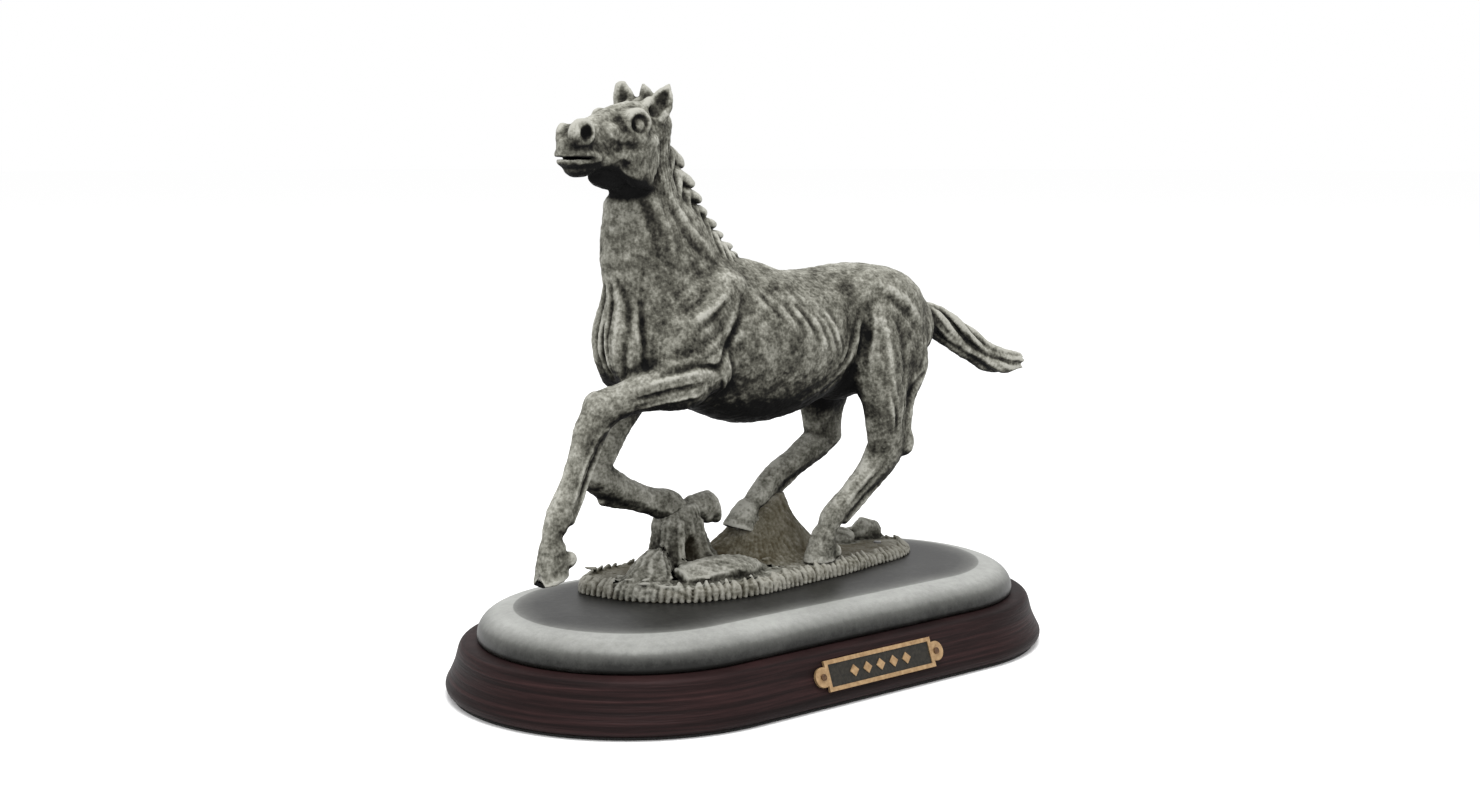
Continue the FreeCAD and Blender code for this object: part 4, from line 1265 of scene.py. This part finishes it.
def painted_shade(points, normals):
    """Painted shade from the patches, fading on surfaces that face upwards."""
    total = np.zeros(len(points))
    for centre, reach, strength in SHADE_PATCHES:
        away = (((points - np.array(centre)) / np.array(reach)) ** 2).sum(1)
        total += strength * np.exp(-away ** 1.5)
    return total * np.clip(0.75 - normals[:, 2], 0, 1)


def shape_groups():
    """The castings of the horse, with the shapes that tell them apart."""
    across = (-math.sin(HEAD_TURN), math.cos(HEAD_TURN), 0)
    head = limb([on_head(f, 0.0, z) + (d, w) for f, z, d, w in HEAD], 4.0, across)
    groups = {"trunk_front": limb(TRUNK, 6.0), "neck": limb(NECK, 6.0), "head": head,
              "tail": limb(TAIL, 5.0)}
    for name, stations in (
        ("near_fore", NEAR_FORE), ("off_fore", OFF_FORE),
        ("near_hind", NEAR_HIND), ("off_hind", OFF_HIND),
    ):
        last = np.array(stations[-1], float)
        hoof_end = tuple(last + (last - np.array(stations[-2])) * 3)[:3] + (6.0, 5.5)
        groups[name + "_upper"] = limb(stations[:KNEE], 4.0)
        groups[name + "_lower"] = limb(stations[KNEE - 1:] + [hoof_end], 4.0)
    return groups


def sculpt_horse(step):
    field = horse_field(step)
    horse = Skin(field)
    only_largest(horse)
    draw_lines(horse)
    draw_skin(horse)
    normals = horse.normals()
    values = {
        "fine": horse.hollows(5, 0.16),
        "broad": horse.hollows(40, 0.9),
        # painted shade: occlusion from crowding plus the painted shade patches
        "shade": crowding(field, horse.points, normals, 2.2, 3) + painted_shade(horse.points, normals),
        "stain": np.zeros(len(horse.points)),
    }
    groups = shape_groups()
    names = list(groups)
    centres = horse.points[horse.faces].mean(1)
    labels = nearest_casting(centres, groups.values())
    above_poll = (centres[:, 0] < POLL_BACK) & (centres[:, 2] > POLL_LEVEL)
    labels[above_poll] = names.index("head")
    labels = whole_parts(labels, neighbours(horse.faces))
    names.append("trunk_rear")
    labels[(labels == 0) & (centres[:, 0] > TRUNK_JOINT)] = len(names) - 1
    split(horse, labels, names, statue_metal, "statue_metal", values)


# ------------------------------------------------------------------ the ground

OUTLINE = [(-63, 26), (-61, 12), (-56, 0), (-46, -11), (-32, -17), (-15, -19.5), (6, -17.5),
           (30, -15), (52, -10.5), (72, -6), (84, 3), (88, 11), (85, 20), (79, 27.5), (69, 32),
           (55, 35.5), (35, 37.5), (8, 38), (-15, 38), (-38, 37), (-54, 34)]
GROUND_LOW = millimetres("plinth_cap")[1][2]
GROUND_HIGH = 36.2


def closed_curve(points, step):
    """A smooth closed curve through the points."""
    ring = points + points[:3]
    rows = spline_row([(x, y, 0.0) for x, y in ring], step)
    gap = np.linalg.norm(rows[:, :2] - np.array(points[1]), axis=1)
    start = int(np.argmin(gap[: len(rows) // 2]))
    end = len(rows) // 2 + int(np.argmin(gap[len(rows) // 2:]))
    return rows[start:end, :2]


def surface_height(x):
    """Level of the ground, which thins towards the rear."""
    return GROUND_HIGH - 0.040 * np.clip(x - 24.0, 0, 70)


def pad(outline, low, high, slope):
    """A low slab with a smooth outline, its side leaning in by the slope."""
    a = outline
    b = np.roll(outline, -1, axis=0)

    def distance(x, y, z):
        flat_x, flat_y = np.broadcast_arrays(x[..., 0], y[..., 0])
        best = np.full(flat_x.shape, 1e9)
        winding = np.zeros(flat_x.shape, bool)
        for (ax, ay), (bx, by) in zip(a, b):
            ux, uy = bx - ax, by - ay
            wx, wy = flat_x - ax, flat_y - ay
            t = np.clip((wx * ux + wy * uy) / (ux * ux + uy * uy), 0, 1)
            best = np.minimum(best, (wx - t * ux) ** 2 + (wy - t * uy) ** 2)
            crosses = (ay > flat_y) != (by > flat_y)
            safe = uy if abs(uy) > 1e-9 else 1e-9
            winding ^= crosses & (flat_x < ux * (flat_y - ay) / safe + ax)
        edge = np.where(winding, -1, 1) * np.sqrt(best)
        side = edge[..., None] + slope * (z - low)
        return np.maximum(side * 0.9, np.maximum(z - surface_height(x), low - z))

    lowest, highest = outline.min(0), outline.max(0)
    return Shape((*lowest, low), (*highest, high), distance)


STUMP = [(-28, 11, 33, 16, 13), (-27, 12, 38, 14.2, 10.6), (-26.6, 12.5, 43, 12.8, 8.8),
         (-26.8, 13, 47, 11.8, 8.0), (-27.8, 13, 50.5, 10.8, 7.6), (-28.6, 13, 54, 10.2, 7.4),
         (-28.4, 13, 57, 9.8, 6.8), (-27, 13, 60, 8.8, 5.6), (-26, 13, 62, 6.0, 4.4)]
KNOLL = [(11, 13, 33, 34, 18), (12, 13, 38, 30, 15), (12.5, 12.5, 43, 24, 12),
         (13, 12, 47, 19, 10), (14, 11.5, 51.5, 13.4, 7.8), (16, 11.5, 56, 8.8, 6.2),
         (17.6, 11.5, 59.0, 6.0, 5.0), (18.4, 11.5, 61.0, 4.2, 4.0)]
MOUND = [(-46, 6, 33, 13, 11), (-46, 7, 38, 10, 8.5), (-44.5, 8, 43, 6.5, 5.6),
         (-43, 8.5, 47, 2.6, 2.4)]
KNOT = (-28.0, 4.0, 44.5)


def facets(centre, radii, seed):
    """A stone with broken flat faces."""
    source = np.random.default_rng(seed)
    directions = source.normal(size=(11, 3))
    directions /= np.linalg.norm(directions, axis=1)[:, None]
    centre, radii = np.array(centre, float), np.array(radii, float)
    cuts = source.uniform(0.68, 0.92, 11)

    def distance(x, y, z):
        local = [(p - c) / r for p, c, r in zip((x, y, z), centre, radii)]
        best = np.sqrt(sum(l * l for l in local)) - 1
        for d, cut in zip(directions, cuts):
            best = np.maximum(best, sum(l * n for l, n in zip(local, d)) - cut)
        return best * radii.min()

    return Shape(centre - radii, centre + radii, distance)


def patch(points, centre, reach, power):
    """1 over an elliptical patch of the ground, fading beyond its reach."""
    flat = zip(points.T, centre, reach)
    return np.exp(-sum(((p - c) / r) ** power for p, c, r in flat))


def above(points, level, rise):
    """0 below a level, growing to 1 over the rise."""
    return np.clip((points[:, 2] - level) / rise, 0, 1)


def bearing(points, x, y):
    """The direction of each point from an upright line."""
    return np.arctan2(points[:, 1] - y, points[:, 0] - x)


def sculpt_ground():
    edge = closed_curve(OUTLINE, 2.45)
    field = Field([(-67.0, 93.0, 0.5)], [(-24.0, 42.0, 0.5)], [(30.0, 62.0, 0.45)])
    ground = pad(edge, GROUND_LOW, GROUND_HIGH, 0.35)
    field.join(ground, 0.3)
    groups = {
        "ground_casting": [ground],
        "tree_stump": [stack(STUMP)],
        "grass_knoll": [stack(KNOLL)],
        "root_mound": [stack(MOUND)],
        "flat_stone": [facets((-24, -3.5, 37.6), (22.0, 9.6, 6.0), 5)],
        "rear_boulder": [facets((77, 21, 36.3), (8.2, 6.2, 6.2), 8)],
        "rear_cobble": [facets((62.5, 19, 36.2), (5.6, 4.8, 4.6), 9)],
    }
    field.join(groups["tree_stump"], 2.6)
    field.join(groups["root_mound"], 3.0)
    field.join(groups["grass_knoll"], 4.5)
    for name in ("flat_stone", "rear_boulder", "rear_cobble"):
        field.join(groups[name], 1.2)
    # roots and bark ridges of the stump, with a hollow knot in front
    for angle in np.radians([-150, -118, -50, -12, 40, 100, 160]):
        sway = rng.uniform(-0.12, 0.12)
        points = []
        for reach, height, radius in ((7.0, 55.0, 0.8), (7.6, 48, 1.1), (9.4, 42.5, 1.4),
                                      (13.0, 37, 1.7)):
            bend = angle + sway * (55 - height) / 8
            x = -28 + 1.3 * reach * math.cos(bend)
            y = 12.5 + reach * math.sin(bend)
            points.append((x, y, height, radius))
        field.join(rod(points, 2.0), 2.6)
    field.carve(ellipsoid(KNOT, (3.4, 4.4, 6.4), (0, 8, 0)), 1.4)
    # the rim of short grass blades
    for i, (x, y) in enumerate(edge):
        before, after = edge[i - 1], edge[(i + 1) % len(edge)]
        along = (after - before) / np.linalg.norm(after - before)
        out = np.array((along[1], -along[0]))
        lean = rng.uniform(-0.3, 1.9)
        tall = rng.uniform(0.2, 1.8)
        root = np.array((x, y)) + out * 0.5
        middle = np.array((x, y)) - out * 0.6 + along * lean * 0.5
        tip = np.array((x, y)) - out * 3.0 + along * lean
        top = surface_height(x)
        field.join(rod([(*root, 31.6, 0.9), (*middle, top - 1.4, 1.25), (*tip, top + tall, 0.6)]), 0.4)
    # tufts lying over the ground
    for _ in range(150):
        x, y = rng.uniform(-56, 84), rng.uniform(-14, 34)
        turn = rng.uniform(-0.8, 0.8) + 2.6
        size = rng.uniform(2.2, 4.5)
        tip = (x + size * math.cos(turn), y + size * math.sin(turn))
        index = [int(np.clip(np.searchsorted(axis, p), 1, len(axis) - 1))
                 for axis, p in zip(field.axes[:2], (x, y))]
        column = field.values[index[0], index[1]]
        if column[int(np.searchsorted(field.axes[2], 35.6))] > -0.2:
            continue
        z = field.axes[2][np.flatnonzero(column < 0)[-1]]
        if z > 39:
            continue
        field.join(rod([(x, y, z - 0.2, 0.8), (*tip, z + 0.1, 0.5)]), 0.5)
    ground_skin = Skin(field)
    only_largest(ground_skin)
    points = ground_skin.points
    normals = ground_skin.normals()
    height = 0.14 * waves(points, 4.0, 21) + 0.10 * waves(points, 2.0, 22)
    # furrows run down the knoll like combed grass
    close = patch(points, (6, 12), (24, 17), 4) * above(points, 34, 3)
    comb = np.sin(40 * bearing(points, 5, 12) + 5.0 * waves(points, 19.0, 23))
    height += 0.26 * close * comb * (0.7 + 0.5 * waves(points, 7.0, 26))
    # the mound is combed the same way
    close = patch(points, (-46, 6), (11, 12), 4) * above(points, 36, 2)
    height += 0.28 * close * np.sin(24 * bearing(points, -38, 10) + 3.0 * waves(points, 9.0, 27))
    # hatching on the flat stone
    close = patch(points, (-19, -3.5), (15, 7), 6) * above(points, 38.5, 1.5)
    hatch = points[:, 0] * 2.3 + points[:, 1] * 3.1 + waves(points, 6.0, 24)
    height += 0.16 * close * np.sin(hatch)
    # bark grain on the stump
    close = patch(points, (-29, 12), (14, 13), 4) * above(points, 38, 3)
    height += 0.15 * close * np.sin(26 * bearing(points, -29.5, 12.5) + 1.5 * waves(points, 7.0, 25))
    ground_skin.press(height * (normals[:, 2] > -0.5))
    normals = ground_skin.normals()
    inner = patch(points, (14, 14), (62, 20), 8)
    values = {
        "fine": np.minimum(ground_skin.hollows(4, 0.20), 0.8),
        "broad": np.minimum(ground_skin.hollows(25, 0.8), 0.6),
        # painted shade: occlusion from crowding, capped
        "shade": np.minimum(0.65 * crowding(field, points, normals, 2.0, 3), 0.45),
    }
    names = list(groups)
    centres = points[ground_skin.faces].mean(1)
    labels = nearest_casting(centres, groups.values())
    labels = whole_parts(labels, neighbours(ground_skin.faces))
    washed = np.isin(labels, [names.index("ground_casting"), names.index("grass_knoll")])
    stain = np.zeros(len(points))
    np.add.at(stain, ground_skin.faces[washed].ravel(), 0.25)
    knot = np.exp(-(((points - np.array(KNOT)) / 5.5) ** 2).sum(1))
    values["stain"] = np.clip(stain, 0, 1) * (0.40 + 0.60 * inner) + 0.6 * knot
    split(ground_skin, labels, names, terrain_metal, "terrain_metal", values, GROUND_LOW + 0.6)


# ------------------------------------------------------------------ the plinth

_, plinth_corner = millimetres("wood_plinth")
HALF_STRAIGHT = plinth_corner[0] - plinth_corner[1]
ARC_STEPS, STRAIGHT_STEPS = 56, 36


def stadium(radius):
    """Points round a stadium, starting at its +X tip."""
    upper = []
    for angle in np.linspace(0, math.pi / 2, ARC_STEPS):
        upper.append((HALF_STRAIGHT + radius * math.cos(angle), radius * math.sin(angle)))
    for x in np.linspace(HALF_STRAIGHT, -HALF_STRAIGHT, STRAIGHT_STEPS + 2)[1:-1]:
        upper.append((x, radius))
    for angle in np.linspace(math.pi / 2, math.pi, ARC_STEPS):
        upper.append((-HALF_STRAIGHT + radius * math.cos(angle), radius * math.sin(angle)))
    lower = [(x, -y) for x, y in upper[-2:0:-1]]
    return upper + lower


def turned(name, profile, material):
    """A solid whose outline follows the plinth; profile is (radius, z) from below to above."""
    points, faces = [], []
    for radius, z in profile:
        points += [(x, y, z) for x, y in stadium(radius)]
    count = len(stadium(1.0))
    half = count // 2
    for ring in range(len(profile) - 1):
        base = ring * count
        for i in range(count):
            j = (i + 1) % count
            faces.append((base + i, base + j, base + count + j, base + count + i))
    for base, flip in ((0, True), ((len(profile) - 1) * count, False)):
        for i in range(half):
            quad = [base + i, base + i + 1, base + (count - i - 1) % count, base + (count - i) % count]
            quad = list(dict.fromkeys(quad))
            faces.append(quad[::-1] if flip else quad)
    return add_mesh(name, points, faces, material)


def smooth_profile(points, step):
    rows = spline_row([(r, z, 0.0) for r, z in points], step)
    return [(r, z) for r, z, _ in rows]


felt = turned("sculpted_felt_pad", [(65.6, 0.0), (65.9, 0.15), (66.0, 0.5), (65.9, 0.9), (65.6, 1.0)],
              felt_black)
finish_piece(felt, "felt", "felt_pad")

WOOD_SIDE = [(66.4, 1.4), (67.6, 2.2), (68.2, 3.6), (68.1, 5.0), (67.1, 7.0), (65.9, 9.5),
             (64.9, 12.0), (64.2, 14.5), (63.7, 16.4), (63.1, 17.9), (62.2, 18.9), (60.8, 19.4)]
wood_profile = [(60.0, 1.0), (65.7, 1.0), *smooth_profile(WOOD_SIDE, 0.5), (59.6, 19.5), (57.6, 19.5)]
plinth = turned("sculpted_wood_plinth", wood_profile, wood.material)
finish_piece(plinth, "plinth_wood", "wood_plinth")

CAP_SIDE = [(56.4, 19.9), (56.75, 20.8), (56.8, 22.0), (56.3, 24.2), (55.0, 26.4), (53.0, 28.2),
            (50.2, 29.6), (47.0, 30.4), (43.5, 30.8), (40.0, 30.9)]
CAP_TOP = [(radius, 31.0) for radius in (36, 30, 24, 18, 12, 6)]
cap_profile = [(55.6, 19.5), *smooth_profile(CAP_SIDE, 0.5), *CAP_TOP]
cap = turned("sculpted_plinth_cap", cap_profile, satin.material)


def cap_painted_light(radius, z):
    """Painted light on the cap: darker into the seam (antique wash and painted shade), a painted
    highlight along the shoulder, and a painted dark reflection greying the middle of the top.
    """
    heights = [19.5, 21.0, 23.0, 25.0, 27.0, 28.6, 29.8, 30.8]
    shades = [0.00, 0.00, 0.05, 0.17, 0.38, 0.53, 0.60, 0.59]
    across = [6, 30, 36, 40, 44, 47]
    top = [0.00, 0.00, 0.05, 0.18, 0.38, 0.55]
    return np.interp(radius, across, top) if z > 30.79 else np.interp(z, heights, shades)


# Painted light and shade of the cap, one value per ring of its profile.
painted_cap_light = np.array([cap_painted_light(r, z) for r, z in cap_profile])
add_values(cap, bright=np.repeat(painted_cap_light, len(stadium(1.0))))
finish_piece(cap, "cap_metal", "plinth_cap")

sculpt_ground()
sculpt_horse(HORSE_GRID)

# ------------------------------------------------------------------ small parts and the studio

DRESSED = {
    "nameplate_frame": gold, "nameplate_panel": enamel, "nameplate_ornament": gold,
    "nameplate_tacks": tack,
}
for name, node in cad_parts.items():
    if node.type != "MESH":
        continue
    if any(word in name for word in ("pin", "screw", "washer")):
        material = steel
    else:
        material = DRESSED.get(name)
    if material:
        for number in range(len(node.data.materials)):
            node.data.materials[number] = material

studio = Shader("studio_paper", 0.9)
studio.surface.inputs["Base Color"].default_value = (0.90, 0.90, 0.90, 1.0)
studio.surface.inputs["Specular IOR Level"].default_value = 0.0
studio.surface.inputs["Emission Color"].default_value = (1.0, 1.0, 1.0, 1.0)
studio.surface.inputs["Emission Strength"].default_value = 0.09
ring = [(9000 * math.cos(a), 9000 * math.sin(a), 0.0) for a in np.linspace(0, 2 * math.pi, 65)[:-1]]
floor = add_mesh("studio_floor", ring, [tuple(range(64))], studio.material)

world = bpy.data.worlds.new("studio")
bpy.context.scene.world = world
world.use_nodes = True
world.node_tree.nodes["Background"].inputs["Color"].default_value = (1.0, 1.0, 1.0, 1.0)
world.node_tree.nodes["Background"].inputs["Strength"].default_value = 1.0


def soft_light(name, place, size, power, aim=(0.0, 0.0, 0.1)):
    data = bpy.data.lights.new(name, "AREA")
    data.shape = "DISK"
    data.size = size
    data.energy = power
    lamp = bpy.data.objects.new(name, data)
    lamp.location = place
    lamp.rotation_euler = (Vector(aim) - lamp.location).to_track_quat("-Z", "Y").to_euler()
    bpy.context.scene.collection.objects.link(lamp)


soft_light("overhead", (-0.25, -0.35, 1.5), 0.9, 22.0)
soft_light("front", (-1.3, -0.9, 0.8), 0.8, 1.6)
bpy.context.scene.view_settings.view_transform = "Standard"
